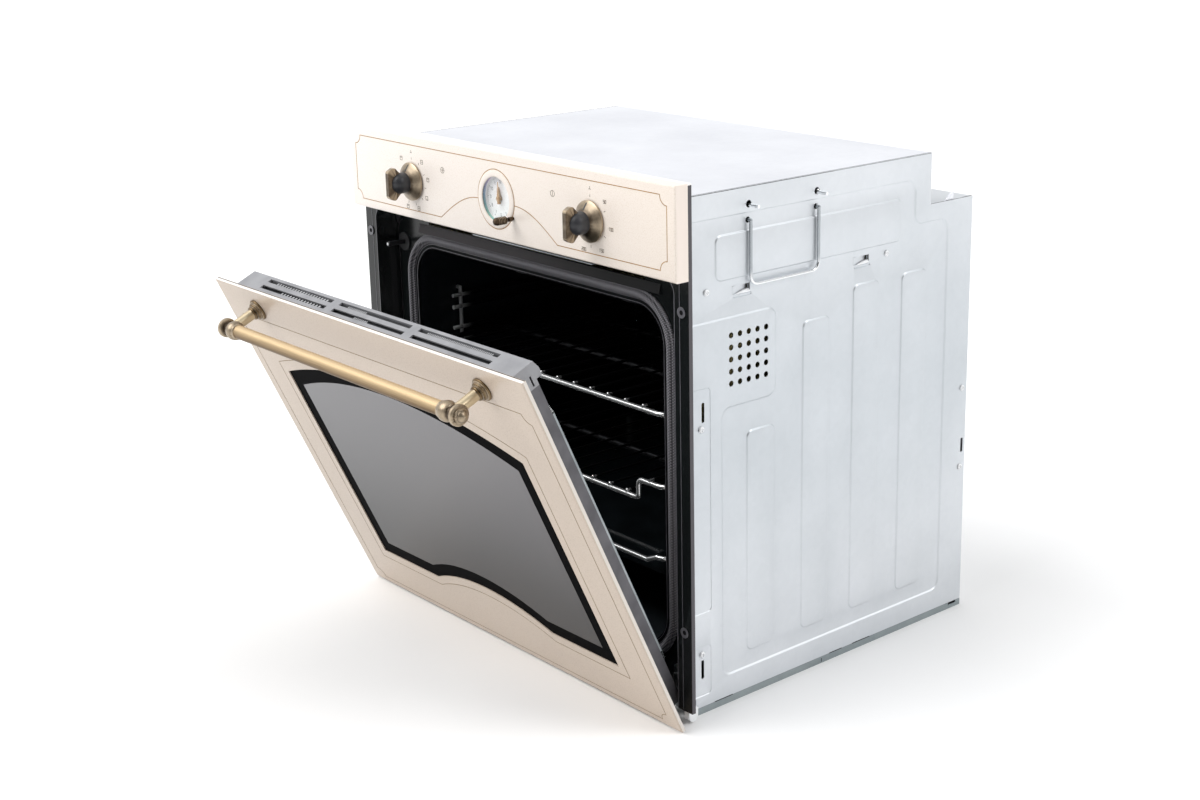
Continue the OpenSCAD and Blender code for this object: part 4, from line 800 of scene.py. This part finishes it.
def finish_layout(tree, given, points, turn=(0.0, 0.0, 0.0)):
    """Puts the part on every point, makes real geometry of it and gives it its finish."""
    part = add(tree, "GeometryNodeObjectInfo", {"As Instance": True, "Object": given["Part"]},
               transform_space="ORIGINAL").outputs["Geometry"]
    copies = add(tree, "GeometryNodeInstanceOnPoints", {"Points": points, "Instance": part, "Rotation": turn})
    real = add(tree, "GeometryNodeRealizeInstances", {"Geometry": copies.outputs[0]})
    painted = add(tree, "GeometryNodeSetMaterial", {"Geometry": real.outputs[0], "Material": given["Finish"]})
    add(tree, "NodeGroupOutput", {"Geometry": painted.outputs[0]})
    return tree


def row_layout():
    tree, given = layout_tree("row_of_parts", ("Count", "Int"), ("First", "Vector"), ("Step", "Vector"))
    values = {"Count": given["Count"], "Start Location": given["First"], "Offset": given["Step"]}
    return finish_layout(tree, given, add(tree, "GeometryNodeMeshLine", values, mode="OFFSET").outputs[0])


def ring_layout():
    tree, given = layout_tree("ring_of_parts", ("Count", "Int"), ("Radius", "Float"))
    ring = add(tree, "GeometryNodeMeshCircle", {"Vertices": given["Count"], "Radius": given["Radius"]})
    spot = add(tree, "GeometryNodeInputPosition").outputs[0]
    outward = add(tree, "FunctionNodeAlignRotationToVector", {"Vector": spot}, axis="X", pivot_axis="Z")
    return finish_layout(tree, given, ring.outputs[0], outward.outputs[0])


def spots_layout():
    tree, given = layout_tree("parts_on_spots", ("Spots", "Geometry"))
    facing = add(tree, "GeometryNodeInputNamedAttribute", {"Name": "facing"}, data_type="FLOAT_VECTOR")
    turn = add(tree, "FunctionNodeAlignRotationToVector", {"Vector": facing.outputs["Attribute"]}, axis="Z")
    return finish_layout(tree, given, given["Spots"], turn.outputs[0])


ROW = row_layout()
RING = ring_layout()
SPOTS = spots_layout()


def template(name, shape):
    """A part in millimetres for a layout to copy."""
    return solid(name, shape, DARK)


def repeated(name, tree, part, finish, values, to_space, body, spots=()):
    """One plain mesh of all copies of a part that a layout tree makes, its points mapped to the row's frame.

    The part itself is taken away afterwards."""
    carrier = enter(bpy.data.objects.new(name + "_layout", bpy.data.meshes.new(name + "_spots")))
    carrier.data.from_pydata([spot for spot, _ in spots], [], [])
    if spots:
        facing = carrier.data.attributes.new("facing", "FLOAT_VECTOR", "POINT")
        for i, (_, way) in enumerate(spots):
            facing.data[i].vector = way
    layout = carrier.modifiers.new("layout", "NODES")
    layout.node_group = tree
    values = {"Part": part, "Finish": finish, **values}
    for item in tree.interface.items_tree:
        if item.in_out == "INPUT" and item.name in values:
            layout[item.identifier] = values[item.name]
    bpy.context.view_layer.update()
    laid_out = carrier.evaluated_get(bpy.context.evaluated_depsgraph_get())
    mesh = bpy.data.meshes.new_from_object(laid_out)
    bpy.data.objects.remove(carrier)
    for vertex in mesh.vertices:
        vertex.co = to_space(*vertex.co)
    mesh.name = name
    made = enter(bpy.data.objects.new(name, mesh), body)
    fix_normals(made)
    bpy.data.objects.remove(part)
    return made


def mm(u, v, w):
    return Vector((u, v, w))


def box_mesh(x, d, z, to_space=place):
    """The eight corners and six faces of a block."""
    points = [to_space(a, b, c) for a in x for b in d for c in z]
    faces = [(0, 1, 3, 2), (4, 6, 7, 5), (0, 4, 5, 1), (2, 3, 7, 6), (0, 2, 6, 4), (1, 5, 7, 3)]
    return points, faces


# Housing panels

# Ribs as (depth, low end, high end), half as wide as RIB_HALF says
RIBS = [(140, 53, 309), (225, 53, 415), (305, 53, 442), (386, 53, 442)]
RIB_HALF = 21.0
FIELD = rounded([(20, 548), (385, 548), (385, 496), (443, 496), (443, 34), (82, 34), (82, 342),
                 (162, 342), (162, 440), (34, 440), (34, 489), (20, 489)],
                [0.5, 14, 12, 14, 12, 12, 12, 12, 12, 4, 3, 0.5])
STRIPS = [rounded(rectangle(*corners), [0.5, 5, 5, 0.5]) for corners in ((20, 118, 65, 370), (20, 21, 64, 79))]
# Lances as (near end, far end, height)
LANCES = [(98, 124, 468), (283, 309, 469)]
BAIL_ENDS = (121.0, 223.0)
BAIL_HOLES = ((540, 3.3), (557, 4.0))
# Upright slots as (depth, height of the middle, length)
SLOTS = ((55, 344, 22), (52, 52, 22), (REAR - 6, 210, 18))


def side_holes():
    spots = [(121 + i * 12.9, 394 + k * 13.2, 3.3) for i in range(-2, 3) for k in range(-2, 3)]
    spots += [(d, z, radius) for d in BAIL_ENDS for z, radius in BAIL_HOLES]
    holes = [arc(d, z, radius, 0, 337.5, 15) for d, z, radius in spots]
    for d, z, length in SLOTS:
        holes.append(rounded(rectangle(d - 2, z - length / 2, d + 2, z + length / 2), 1.9, 4))
    return holes + [rectangle(near, z - 4.5, far, z + 4.5) for near, far, z in LANCES]


def side_panel(name, side):
    outline = [(FRAME_BACK, 18), (40, 18), (40, 8), (REAR, 8), (REAR, SHELF), (SHELF_WALL, SHELF),
               (SHELF_WALL, ROOF), (FRAME_BACK, ROOF)]
    raised = [(d - RIB_HALF, low, d + RIB_HALF, high) for d, low, high in RIBS] + [(74, 481, 362, 529)]
    pressings = [(FIELD, -PRESS, 1.6)]
    pressings += [(rounded(rectangle(*corners), 8), PRESS, 1.1) for corners in raised]
    pressings += [(path, -0.8, 0.45) for path in STRIPS]
    pressings += [(rounded(rectangle(near + 2, z - 8.6, far + 2, z - 5.6), 1.2, 3), -1.3, 0.6)
                  for near, far, z in LANCES]
    made = pressed_sheet("pressed_side_" + name, outline, side_holes(), pressings, on_side(side, 0.02),
                         SHEET, GALVANISED, "housing")
    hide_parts("side_panel_" + name)


def lance_flaps(name, side):
    """Tongues cut free and pressed in, deepest at their rear end, with lower walls as painted highlight and
    grey back plates as painted shade.
    """
    outward = on_side(side)
    flaps, walls, backs = ([], []), ([], []), ([], [])
    for near, far, z in LANCES:
        slope = 4.2 / (far - near)
        lower = [(near + 3, -4.5, -0.9), (far - 0.3, -4.5, -0.7),
                 (far - 0.3, -1.4, -2.9), (far - 2.8, -1.2, -4.4)]
        merge(flaps, box_mesh((near + 0.3, far - 2.6), (z - 4.5, z + 4.1), (-2.35, -1.55),
                              lambda d, up, h: outward(d, up, h - slope * (d - near))))
        merge(walls, ([outward(d, z + up - low, h) for low in (0.0, 0.25) for d, up, h in lower],
                      [(0, 1, 2, 3), (7, 6, 5, 4), (0, 4, 5, 1), (1, 5, 6, 2), (2, 6, 7, 3), (3, 7, 4, 0)]))
        merge(backs, box_mesh((far - 2.5, far - 0.2), (z - 4.3, z + 4.3), (-3.6, -3.0), outward))
    # The pale walls are a painted highlight; the back plates stand in for the shade inside the slots.
    for kind, shape, finish in (("flaps", flaps, GALVANISED), ("walls", walls, PALE),
                                ("backs", backs, SLOT_BACK)):
        solid("lance_%s_%s" % (kind, name), shape, finish, "housing")


for name, side in SIDES:
    side_panel(name, side)
    lance_flaps(name, side)


# Seams and small parts of the housing

def seam(name, paths, width, to_space, shade, height):
    """An open joint or a fine line on the enamelled housing."""
    print_on(name, paths, width, to_space, shade, "housing", height)


def dark_seams():
    """Open joints between the sheets: roof and shelf against the sides, base against the sides."""
    roof_edge = [[(276.1, 19), (276.1, 410.5)], [(276.1, 411.5), (276.1, 470)]]
    seam("roof_seams", roof_edge + [mirrored(path) for path in roof_edge], 1.1,
         lambda x, d, h: place(x, d, (ROOF if d < SHELF_WALL else SHELF) + h), SHADOW, 0.06)
    for name, side in SIDES:
        for part, ends, shade in (("front", (19, 250), SHADOW), ("rear", (250, 410), SEAM)):
            path = [(d, 575.2) for d in ends]
            seam("top_seam_%s_%s" % (part, name), [path], 0.6, on_side(side), shade, 0.04)
    seam("shelf_corner_seams", mirrored_pair([(275.6, 470), (275.6, 485)]), 1.8,
         lambda x, d, h: place(x, d, SHELF + h), SHADOW, 0.06)
    for name, side in SIDES:
        gaps = [[(69, 8.1), (96, 8.1)], [(251, 8.1), (272, 8.1)], [(290, 8.1), (320, 8.1)],
                [(40.4, 8.5), (40.4, 19)], [(24, 17.8), (40, 17.8)], [(238, 1.5), (238, 6)]]
        seam("base_gaps_" + name, gaps, 1.1, on_side(side), SHADOW, 0.05)
        seam("base_seam_" + name, [[(41, 8.0), (REAR - 2, 8.0)]], 0.4, on_side(side), SEAM, 0.04)


def shelf_gussets():
    """Small folded corners standing on the rear shelf."""
    outline = [(438, SHELF - 0.1), (453, SHELF - 0.1), (453, SHELF + 12)]
    for name, side in SIDES:
        solid("shelf_gusset_" + name, prism((outline, side * 274.4), (outline, side * 275.4), on_profile),
              ROOF_SHEET, "housing")


dark_seams()
shelf_gussets()


def dome(u, v):
    """Height of a pan head over its rim."""
    return 2.3 * math.sqrt(max(0.0, 1.0 - (u * u + v * v) / 14.6))


SIDE_SCREWS = ((61, 472), (338, 470), (52, 326), (51, 70), (REAR - 9, 283), (REAR - 9, 183))


def sheet_screws():
    """Pan-head sheet screws with a cross recess, on both sides and the rear."""
    cross = []
    for turn in range(4):
        c, s = math.cos(math.radians(90 * turn)), math.sin(math.radians(90 * turn))
        cross += [(u * c - v * s, u * s + v * c) for u, v in ((0.45, 2.0), (-0.45, 2.0), (-0.45, 0.45))]
    rings = [(arc(0, 0, 3.1, 0, 345, 23), 0.0, 0.2), (arc(0, 0, 2.5, 0, 340, 17), 0.0, 0.1),
             (cross, -1.1, 0.12)]
    head = pressed_sheet("pan_head", arc(0, 0, 3.6, 0, 345, 23), [], rings,
                         lambda u, v, h: mm(u, v, h + dome(u, v)), 0.9, ZINC)
    spots = []
    for _, side in SIDES:
        for d, z in SIDE_SCREWS:
            level = HALF_BODY - (1.5 if z > 400 else 0.8 if d < 60 else 0.0)
            spots.append(((side * (level + 0.3), d, z), (side, 0, 0)))
    spots += [((x, REAR - 0.1, z), (0, 1, 0)) for x in (-255, 255) for z in (40, 200, 360, 490)]
    made = repeated("sheet_screws", SPOTS, head, PALE, {}, place, "housing", spots)
    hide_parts("housing_screws")


sheet_screws()


# Front frame

def frame_details():
    """Deep-drawn corners, beads and eyelets of the front frame; the beads, eyelet rims and corner tab carry
    painted highlights.
    """
    for name, side in SIDES:
        front = [(274.9, 493.2), (258.8, 493.2)] + arc(258.8, 477, 16, 90, 0, 8)
        back = [(x - 5.9 if i else x, z) for i, (x, z) in enumerate(front)]
        solid("recess_corner_" + name,
              prism((front, FLANGE), (back, RECESS - 0.1), lambda x, z, d: place(side * x, d, z)), BLACK,
              "housing")
    edge = [(275.6, 18.5), (275.6, 477)] + arc(258.8, 477, 16.8, 0, 90, 8)
    inner = [(266.5, 19), (266.5, 462)] + arc(252, 462, 14.5, 0, 70, 6)
    seam("recess_edge_beads", mirrored_pair(edge), 0.9, ahead_of(FLANGE), BEAD, 0.35)
    seam("flange_beads", mirrored_pair([(283.5, 19), (283.5, 492)]), 0.8, ahead_of(FLANGE), BEAD, 0.3)
    seam("recess_floor_beads", mirrored_pair(inner), 1.1, ahead_of(RECESS), LIT_BLACK, 0.5)
    outline = [(RECESS, 475.4), (43.5, 475.4), (40.95, 465.2), (41.4, 464.4), (RECESS, 465.6)]
    solid("air_deflector", prism((outline, -219), (outline, 225), on_profile), GREY_BLACK, "housing")
    tab, tip = [(-269, 481), (-262.5, 481), (-266, 468)], [(-267.5, 480), (-264.5, 480), (-266, 472)]
    solid("corner_tab", prism((tip, 41.2), (tab, RECESS), lambda x, z, d: place(x, d, z)), LIT_BLACK,
          "housing")
    profile = [(5.95, 0.0), (5.95, 0.45), (5.3, 0.7), (4.5, 0.35), (3.3, 0.3), (2.9, 0.5),
               (2.65, 0.3), (2.65, 0.0)]
    eyelet = template("eyelet", lathe(profile, 32, mm, ring=True))
    spots = [((x, 16.25, z), (0, -1, 0)) for x in (-287, 287) for z in (110, 461)]
    soften(repeated("frame_eyelets", SPOTS, eyelet, BEAD, {}, place, "housing", spots))
    well = template("eyelet_well", lathe([(2.9, 0.0), (2.9, 0.12), (0.3, 0.12)], 24, mm))
    repeated("eyelet_wells", SPOTS, well, MATT_BLACK, {}, place, "housing", spots)
    shape = lathe(arc(0, 0, 3.5, -87, -55, 4), 24, lambda u, v, w: place(u - 253.8, 21 + w, v + 448))
    soften(solid("pin_tip", shape, PALE, "housing"))


def hinge_feet():
    """Rounded zinc feet under the frame's lower corners."""
    outline = [(22, 17.5), (22, 9)] + arc(28.5, 8.8, 6.5, 180, 360, 10) + [(35, 17.5)]
    for name, side in SIDES:
        shape = prism((outline, side * 279), (outline, side * 287), on_profile)
        solid("hinge_foot_" + name, shape, PALE, "housing")


def mouth_lip():
    """Matt lip of the cavity's mouth inside the seal, with two fine beads whose grey is a painted highlight.
    """
    edge = [rounded(rectangle(-228 - grow, 62 - grow, 228 + grow, 448 + grow), 40 + grow, 10)
            for grow in (8.4, -0.3, 5.6, 1.4)]
    ring_plate("mouth_lip", edge[0], edge[1], 43.3, 44.4, place, MATT_BLACK, "housing")
    print_on("mouth_beads", edge[2:], 0.6, ahead_of(43.3), BEAD, "housing", 0.25, closed=True)


frame_details()
mouth_lip()
hinge_feet()


# Printed lines on the fascia

def notched_frame(x, low, high, notch):
    """Half of a frame with hollow corners, as a path from the top's middle to the bottom's."""
    return ([(0, high), (x - notch, high)] + arc(x, high, notch, 180, 270, 8)
            + arc(x, low, notch, 90, 180, 8))


def fascia_lines():
    half = notched_frame(285, 505.5, 583, 10.5)
    half += [(108 - 74.6 * t, 505.5 + 32.5 * math.sin(t * math.pi / 2)) for t in [i / 14 for i in range(15)]]
    print_on("fascia_gold_line", mirrored_pair(half), 0.9, on_face, GOLD_LINE, "housing")
    print_on("clock_gold_ring", [arc(0, CLOCK_Z, 33.6, 0, 355, 71)], 0.9, on_face, GOLD_LINE, "housing",
             closed=True)


fascia_lines()


def dial_point(cx, cz, r, angle):
    """A point at that radius, its angle in degrees clockwise from the top."""
    a = math.radians(angle)
    return cx + r * math.sin(a), cz + r * math.cos(a)


# Strokes of plain digits in a field two wide and four high
DIGITS = {
    "0": [[(0, 0), (2, 0), (2, 4), (0, 4), (0, 0)]],
    "1": [[(1, 0), (1, 4), (0.2, 3.2)]],
    "2": [[(0, 4), (2, 4), (2, 2), (0, 2), (0, 0), (2, 0)]],
    "3": [[(0, 4), (2, 4), (2, 0), (0, 0)], [(0.5, 2), (2, 2)]],
    "4": [[(1.6, 0), (1.6, 4), (0, 1.4), (2.2, 1.4)]],
    "5": [[(2, 4), (0, 4), (0, 2.2), (2, 2.2), (2, 0), (0, 0)]],
    "6": [[(2, 4), (0, 4), (0, 0), (2, 0), (2, 2), (0, 2)]],
    "7": [[(0, 4), (2, 4), (0.8, 0)]],
    "8": [[(0, 0), (2, 0), (2, 4), (0, 4), (0, 0)], [(0, 2), (2, 2)]],
    "9": [[(0, 0), (2, 0), (2, 4), (0, 4), (0, 2), (2, 2)]],
}


def numeral(text, cx, cz, height):
    """Strokes of a plain number centred on a point."""
    k = height / 4.0
    left, low = cx - (len(text) * 3.0 - 1.0) * k / 2, cz - height / 2
    return [[(left + (i * 3.0 + u) * k, low + v * k) for u, v in stroke]
            for i, digit in enumerate(text) for stroke in DIGITS[digit]]


def fascia_prints():
    marks = []
    for cx, count in ((-KNOB_X, 9), (KNOB_X, 5)):
        marks += [[dial_point(cx, KNOB_Z, r, i * 300 / count) for r in (25.5, 28.5)] for i in range(count)]
    for i, value in enumerate(("50", "100", "150", "200", "250")):
        marks += numeral(value, *dial_point(KNOB_X, KNOB_Z, 33.5, 45 + i * 52), 3.4)
    for i in range(1, 9):
        cx, cz = dial_point(-KNOB_X, KNOB_Z, 33.0, i * 40)
        marks.append(rectangle(cx - 2.2, cz - 2.2, cx + 2.2, cz + 2.2) + [(cx - 2.2, cz - 2.2)])
        marks.append([(cx - 1.4, cz + (i % 3 - 1)), (cx + 1.4, cz + (i % 3 - 1))])
    for side in (-1, 1):
        cx = side * 102
        marks += [arc(cx, 561, 3.4, 0, 360, 16), [(cx, 558.6), (cx, 563.4)]]
        if side < 0:
            marks.append([(cx - 2.4, 561), (cx + 2.4, 561)])
        cx = side * KNOB_X
        marks += [[(cx, 574.0), (cx, 577.0)], [(cx - 2, 574.0), (cx + 2, 574.0)]]
    print_on("fascia_marks", marks, 0.55, on_face, INK, "housing")


fascia_prints()


# Door front

WINDOW_LOW = 85.0
WINDOW_HIGH = 371.0
WINDOW_RISE = 38.0
WINDOW_X = 228.0
WAVE_X = 112.0
WAVE_RISE = 26.0


def window_path(grow):
    """The window's outline, arched at the top, with a wave in its lower edge."""
    x, low, high = WINDOW_X + grow, WINDOW_LOW - grow, WINDOW_HIGH + grow * 0.9
    arch = (x * x + WINDOW_RISE ** 2) / (2 * WINDOW_RISE)
    arch_a = math.degrees(math.asin(x / arch))
    wave = (WAVE_X ** 2 + WAVE_RISE ** 2) / (2 * WAVE_RISE)
    wave_a = math.degrees(math.asin(WAVE_X / wave))
    upper = arc(0, high + WINDOW_RISE - arch, arch, 90 + arch_a, 90 - arch_a, 30)
    lower = arc(0, low + WAVE_RISE - wave, wave, 90 - wave_a, 90 + wave_a, 18)
    return upper + [(x, low)] + lower + [(-x, low)]


def window_frit():
    """The black printed border behind the window's edge."""
    ring_plate("window_frit", window_path(1.5), window_path(-18.5), 1.28, 1.42, on_door, FRIT,
               "door")


window_frit()


def door_lines():
    half = [(0, 446)] + arc(281, 446, 11, 180, 270, 8)
    half += [(281, 36)] + arc(281, 25, 11, 90, 180, 8) + [(0, 25)]
    for name, paths, closed in (("window", [window_path(12.5)], True), ("outer", mirrored_pair(half), False)):
        print_on("door_%s_line" % name, paths, 0.8, on_door_face, DOOR_LINE, "door",
                 closed=closed)


door_lines()


# Door cap

SLOT_STEP = 153.0
SLOT_LENGTH = 138.0
# Combs as (column, depth, begin and end as shares of the slot, pitch)
COMBS = [(-1, 27, 0.15, 0.97, 5.6), (-1, 15.4, 0.34, 0.97, 6.2), (0, 27, 0.13, 0.42, 3.4),
         (0, 15.4, 0.33, 0.55, 3.4), (1, 27, 0.12, 0.96, 3.0)]


def air_combs():
    """Rows of teeth under the near halves of the cap's slots."""
    for number, (column, row, begin, end, pitch) in enumerate(COMBS):
        tooth = template("tooth", prism((rectangle(-pitch * 0.19, 0.1, pitch * 0.19, 3.3), 0),
                                        (rectangle(-pitch * 0.15, 0.1, pitch * 0.15, 3.1), -0.8), mm))
        first = column * SLOT_STEP + SLOT_LENGTH * (begin - 0.5)
        repeated("air_comb_%d" % number, ROW, tooth, TOOTH,
                 {"Count": int(SLOT_LENGTH * (end - begin) / pitch), "First": (first, row, CAP_TOP - 0.5),
                  "Step": (pitch, 0, 0)}, on_door, "door")


def door_edges():
    """The joint lines along the cap's front edge, a painted highlight along the door's rim and the panes'
    ground edges.
    """
    for name, half, d, width, over, finish, slot_name, height in (
            ("cap_joint", HALF_FRONT - 0.5, 4.3, 0.8, over_door, SHADOW, "cap_plastic", 0.05),
            ("cap_step", DOOR_BODY, 10.2, 0.7, over_cap, SHADOW, "cap_plastic", 0.05),
            ("door_rim_edge", HALF_FRONT - 0.3, 1.9, 3.2, over_door, RIM_HIGHLIGHT, "tan_enamel", 0.06)):
        print_on(name, [[(-half, d), (half, d)]], width, over, finish, "door", height)
    print_on("pane_edges", [[(35, 92), (35, 418)]], 3.4, lambda d, z, h: on_door(PANE_EDGE + h, d, z),
             GLASS_EDGE, "door", 0.05)


def vent_insides():
    """Dark plates of painted shade under the cap's slots and on the ledges in the rear ones."""
    reach = SLOT_LENGTH / 2 - 0.1
    boxes = [("air_duct_liner", (-222, 222), (14.6, 33.4), (-5.2, -4.8))]
    for name, middle in (("left", -SLOT_STEP), ("middle", 0), ("right", SLOT_STEP)):
        boxes.append(("vent_ledge_" + name, (middle - reach, middle + reach), (29.9, 32.35), (-2.98, -2.88)))
    for name, *sizes in boxes:
        solid(name, box_mesh(*sizes, over_cap), DARK, "door")


air_combs()
door_edges()
vent_insides()


# Rounded ends of the racks' long wires, standing on their front bars

# Racks as (body, height of the front bar, wires on each side of the middle one)
RACK_ROWS = [("rack_upper", 325.7, 6), ("rack_lower", 220.7, 5)]


def wire_tips():
    ball = arc(0, 0, 1.9, -80, 80, 8)
    for body, bar_z, count in RACK_ROWS:
        shape = ([], [])
        for i in range(-count, count + 1):
            merge(shape, lathe(ball, 12, lambda u, v, up: place(30 * i + u, 56 + v, bar_z + 4.4 + up)))
        soften(solid(body + "_tips", shape, OVEN_WIRE, body))


wire_tips()


# Turned rosettes of the handle's posts

ROSETTE = [(12.5, 0.02), (13.2, 0.7), (13.2, 1.7), (12.4, 2.4), (11.4, 2.6), (10.5, 1.5), (9.9, 1.9),
           (9.9, 3.4), (10.4, 4.2), (10.2, 5.2), (9.2, 5.9), (8.2, 4.9), (7.6, 5.4), (7.5, 7.4),
           (8.2, 8.2), (8.0, 9.2), (6.6, 9.8)]
SLEEVE = [(6.2, 9.4), (6.2, 33.6), (5.1, 34.4)]


def post_rosettes():
    for name, side in SIDES:
        for part, profile, finish in (("rosette", ROSETTE, TURNED_BRONZE), ("sleeve", SLEEVE, PALE_BRONZE)):
            shape = lathe(profile, 56, lambda u, v, out: on_door_face(side * POST_X + u, POST_Z + v, out))
            soften(solid("post_%s_%s" % (part, name), shape, finish, "door"), 50)


def handle_tube():
    """The bar's tube, a little stouter than its core."""
    shape = lathe([(7.7, -202.4), (7.7, 202.4)], 56, lambda u, v, x: on_door_face(x, POST_Z + v, BAR_OUT + u))
    made = soften(solid("handle_tube", shape, BRASS, "door"), 50)
    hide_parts("handle_bar")


handle_tube()
post_rosettes()


# Knobs

def ball_on_knob(cx, body):
    profile = arc(0, 0, 12.3, -88, 0, 11) + [(12.0, 7.0), (11.0, 9.5)]
    shape = lathe(profile, 40, lambda u, v, w: place(cx + u, -18 + w, KNOB_Z + v))
    soften(solid("ball_" + body, shape, BALL, body))


def pointer_on_knob(cx, body):
    """The black line down the knob's cone."""
    shape = box_mesh((-1.0, 1.0), (13.0, 20.4), (-0.1, 0.15),
                     lambda a, r, h: place(cx + a, -(4.1 + (21.3 - r) * 0.683 + h), KNOB_Z + r))
    solid("pointer_" + body, shape, DARK, body)


for cx, body in ((-KNOB_X, "function_knob"), (KNOB_X, "thermostat_knob")):
    ball_on_knob(cx, body)
    pointer_on_knob(cx, body)


# Clock

on_dial = ahead_of(6.4)


def clock_prints():
    strokes = []
    for hour in range(1, 13):
        strokes += numeral(str(hour), *dial_point(0, CLOCK_Z, 18.6, hour * 30), 3.2)
    print_on("dial_marks", strokes, 0.4, on_dial, GREY_INK, "housing", 0.08)
    for name, count, radius, half, thick in (("minute", 60, 23.4, 0.5, 0.14), ("hour", 12, 22.9, 1.0, 0.3)):
        tick = template(name + "_tick", box_mesh((-half, half), (-thick, thick), (-0.02, 0.08), mm))
        repeated(name + "_ticks", RING, tick, GREY_INK, {"Count": count, "Radius": radius},
                 lambda u, v, w: on_dial(u, CLOCK_Z + v, w), "housing")


def clock_rim():
    """The flat enamelled ring round the dial, and the walls behind its edge: a painted reflection of the
    glass's edge in colour, then white.
    """
    flat = [(25.0, 0.02), (25.2, 0.9), (26.2, 1.25), (31.6, 1.05), (32.8, 0.5), (33.0, 0.02)]
    shape = lathe(flat, 96, lambda u, v, out: place(u, -out, CLOCK_Z + v), ring=True)
    made = soften(solid("clock_flat_ring", shape, CREAM, "housing"), 40)
    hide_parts("clock_ring")
    for name, near, far, finish in (("coloured", 1.62, 4.0, REFLECTION_BAND), ("white", 4.0, 6.3, DIAL)):
        wall = [(25.5, near), (26.6, near), (26.6, far), (25.5, far)]
        shape = lathe(wall, 96, lambda u, v, d: place(u, d, CLOCK_Z + v), ring=True)
        solid("clock_reveal_" + name, shape, finish, "housing")


def timer_ridges():
    """Painted highlights: lighter bronze rings along the edges of the timer knob's ribs."""
    for k in range(5):
        edge = 11.4 + 2 * k + 1.55
        ridge = [(3.9, edge), (4.56, edge), (4.56, edge + 0.45), (3.9, edge + 0.45)]
        shape = lathe(ridge, 32, lambda u, v, out: place(STEM[0] + u, -out, STEM[1] + v), ring=True)
        solid("timer_ridge_%d" % k, shape, BRONZE, "timer_knob")


clock_prints()
clock_rim()
timer_ridges()


# Floor, lights and camera

def stage():
    look = start("studio_floor", "#F6F6F6", roughness=0.9)
    blend_tones(look, noise(look, 400.0), "#F4F4F4", "#F8F8F8")
    corners = [(-15, -15, 0), (15, -15, 0), (15, 15, 0), (-15, 15, 0)]
    floor = piece("floor", (corners, [(0, 1, 2, 3)]), look.mat)


def far_light(name, comes_from, width, power):
    """A wide soft light so far off that it is even all over the floor."""
    light = bpy.data.lights.new(name, "SUN")
    light.angle = math.radians(width)
    light.energy = power * math.pi
    lamp = bpy.data.objects.new(name, light)
    lamp.rotation_euler = Vector(comes_from).to_track_quat("Z", "Y").to_euler()
    bpy.context.scene.collection.objects.link(lamp)


def studio():
    """A white room that is dim on the side where the photographer stands."""
    world = bpy.data.worlds.new("studio_white")
    world.use_nodes = True
    tree = world.node_tree
    tree.nodes.clear()
    way = add(tree, "ShaderNodeTexCoord").outputs["Generated"]
    aim = add(tree, "ShaderNodeVectorMath", {0: way, 1: DIM_SIDE}, operation="DOT_PRODUCT").outputs["Value"]
    look = SimpleNamespace(tree=tree)
    dim = eased(look, aim, 0.45, 0.95, 1.0, 0.12)
    level = maths(look, "MULTIPLY", dim, spread(look, aim, -1.0, 0.3, FAR_LIGHT, ROOM_LIGHT))
    room = add(tree, "ShaderNodeBackground", {"Color": WHITE, "Strength": level})
    seen = add(tree, "ShaderNodeBackground", {"Color": WHITE, "Strength": 1.0})
    eye = add(tree, "ShaderNodeLightPath").outputs["Is Camera Ray"]
    both = add(tree, "ShaderNodeMixShader", {0: eye, 1: room.outputs[0], 2: seen.outputs[0]})
    add(tree, "ShaderNodeOutputWorld", {"Surface": both.outputs[0]})
    bpy.context.scene.world = world
    far_light("key_front_left", (-0.45, -0.75, 1.0), 50, 0.74)
    far_light("fill_right_rear", (1.0, 0.5, 0.9), 30, 0.36)


ROOM_LIGHT = 0.72
FAR_LIGHT = 1.05
DIM_SIDE = (0.73, -0.63, 0.26)

# The camera of the photograph, in the row's frame
CAMERA_SPOT = (1.60399, -1.42281, 0.91846)
CAMERA_AZIMUTH = 49.08
CAMERA_ELEVATION = 15.32
CAMERA_ROLL = -0.87
FOCAL_PX = 1810.2
SHIFT_PX = (49.2, -60.2)
PHOTO_WIDTH = 1200


def camera():
    a, e, r = (math.radians(v) for v in (CAMERA_AZIMUTH, CAMERA_ELEVATION, CAMERA_ROLL))
    ahead = Vector((-math.sin(a) * math.cos(e), math.cos(a) * math.cos(e), -math.sin(e)))
    right = ahead.cross(Vector((0, 0, 1))).normalized()
    up = right.cross(ahead)
    right, up = right * math.cos(r) + up * math.sin(r), up * math.cos(r) - right * math.sin(r)
    lens = bpy.data.cameras.new("camera")
    lens.sensor_width = 36.0
    lens.lens = 36.0 * FOCAL_PX / PHOTO_WIDTH
    lens.shift_x = -SHIFT_PX[0] / PHOTO_WIDTH
    lens.shift_y = SHIFT_PX[1] / PHOTO_WIDTH
    lens.clip_end = 60.0
    cam = bpy.data.objects.new("camera", lens)
    turn = Matrix((right, up, -ahead)).transposed().to_4x4()
    cam.matrix_world = Matrix.Translation(CAMERA_SPOT) @ turn
    bpy.context.scene.collection.objects.link(cam)
    bpy.context.scene.camera = cam


stage()
studio()
camera()
bpy.context.scene.view_settings.view_transform = "Standard"
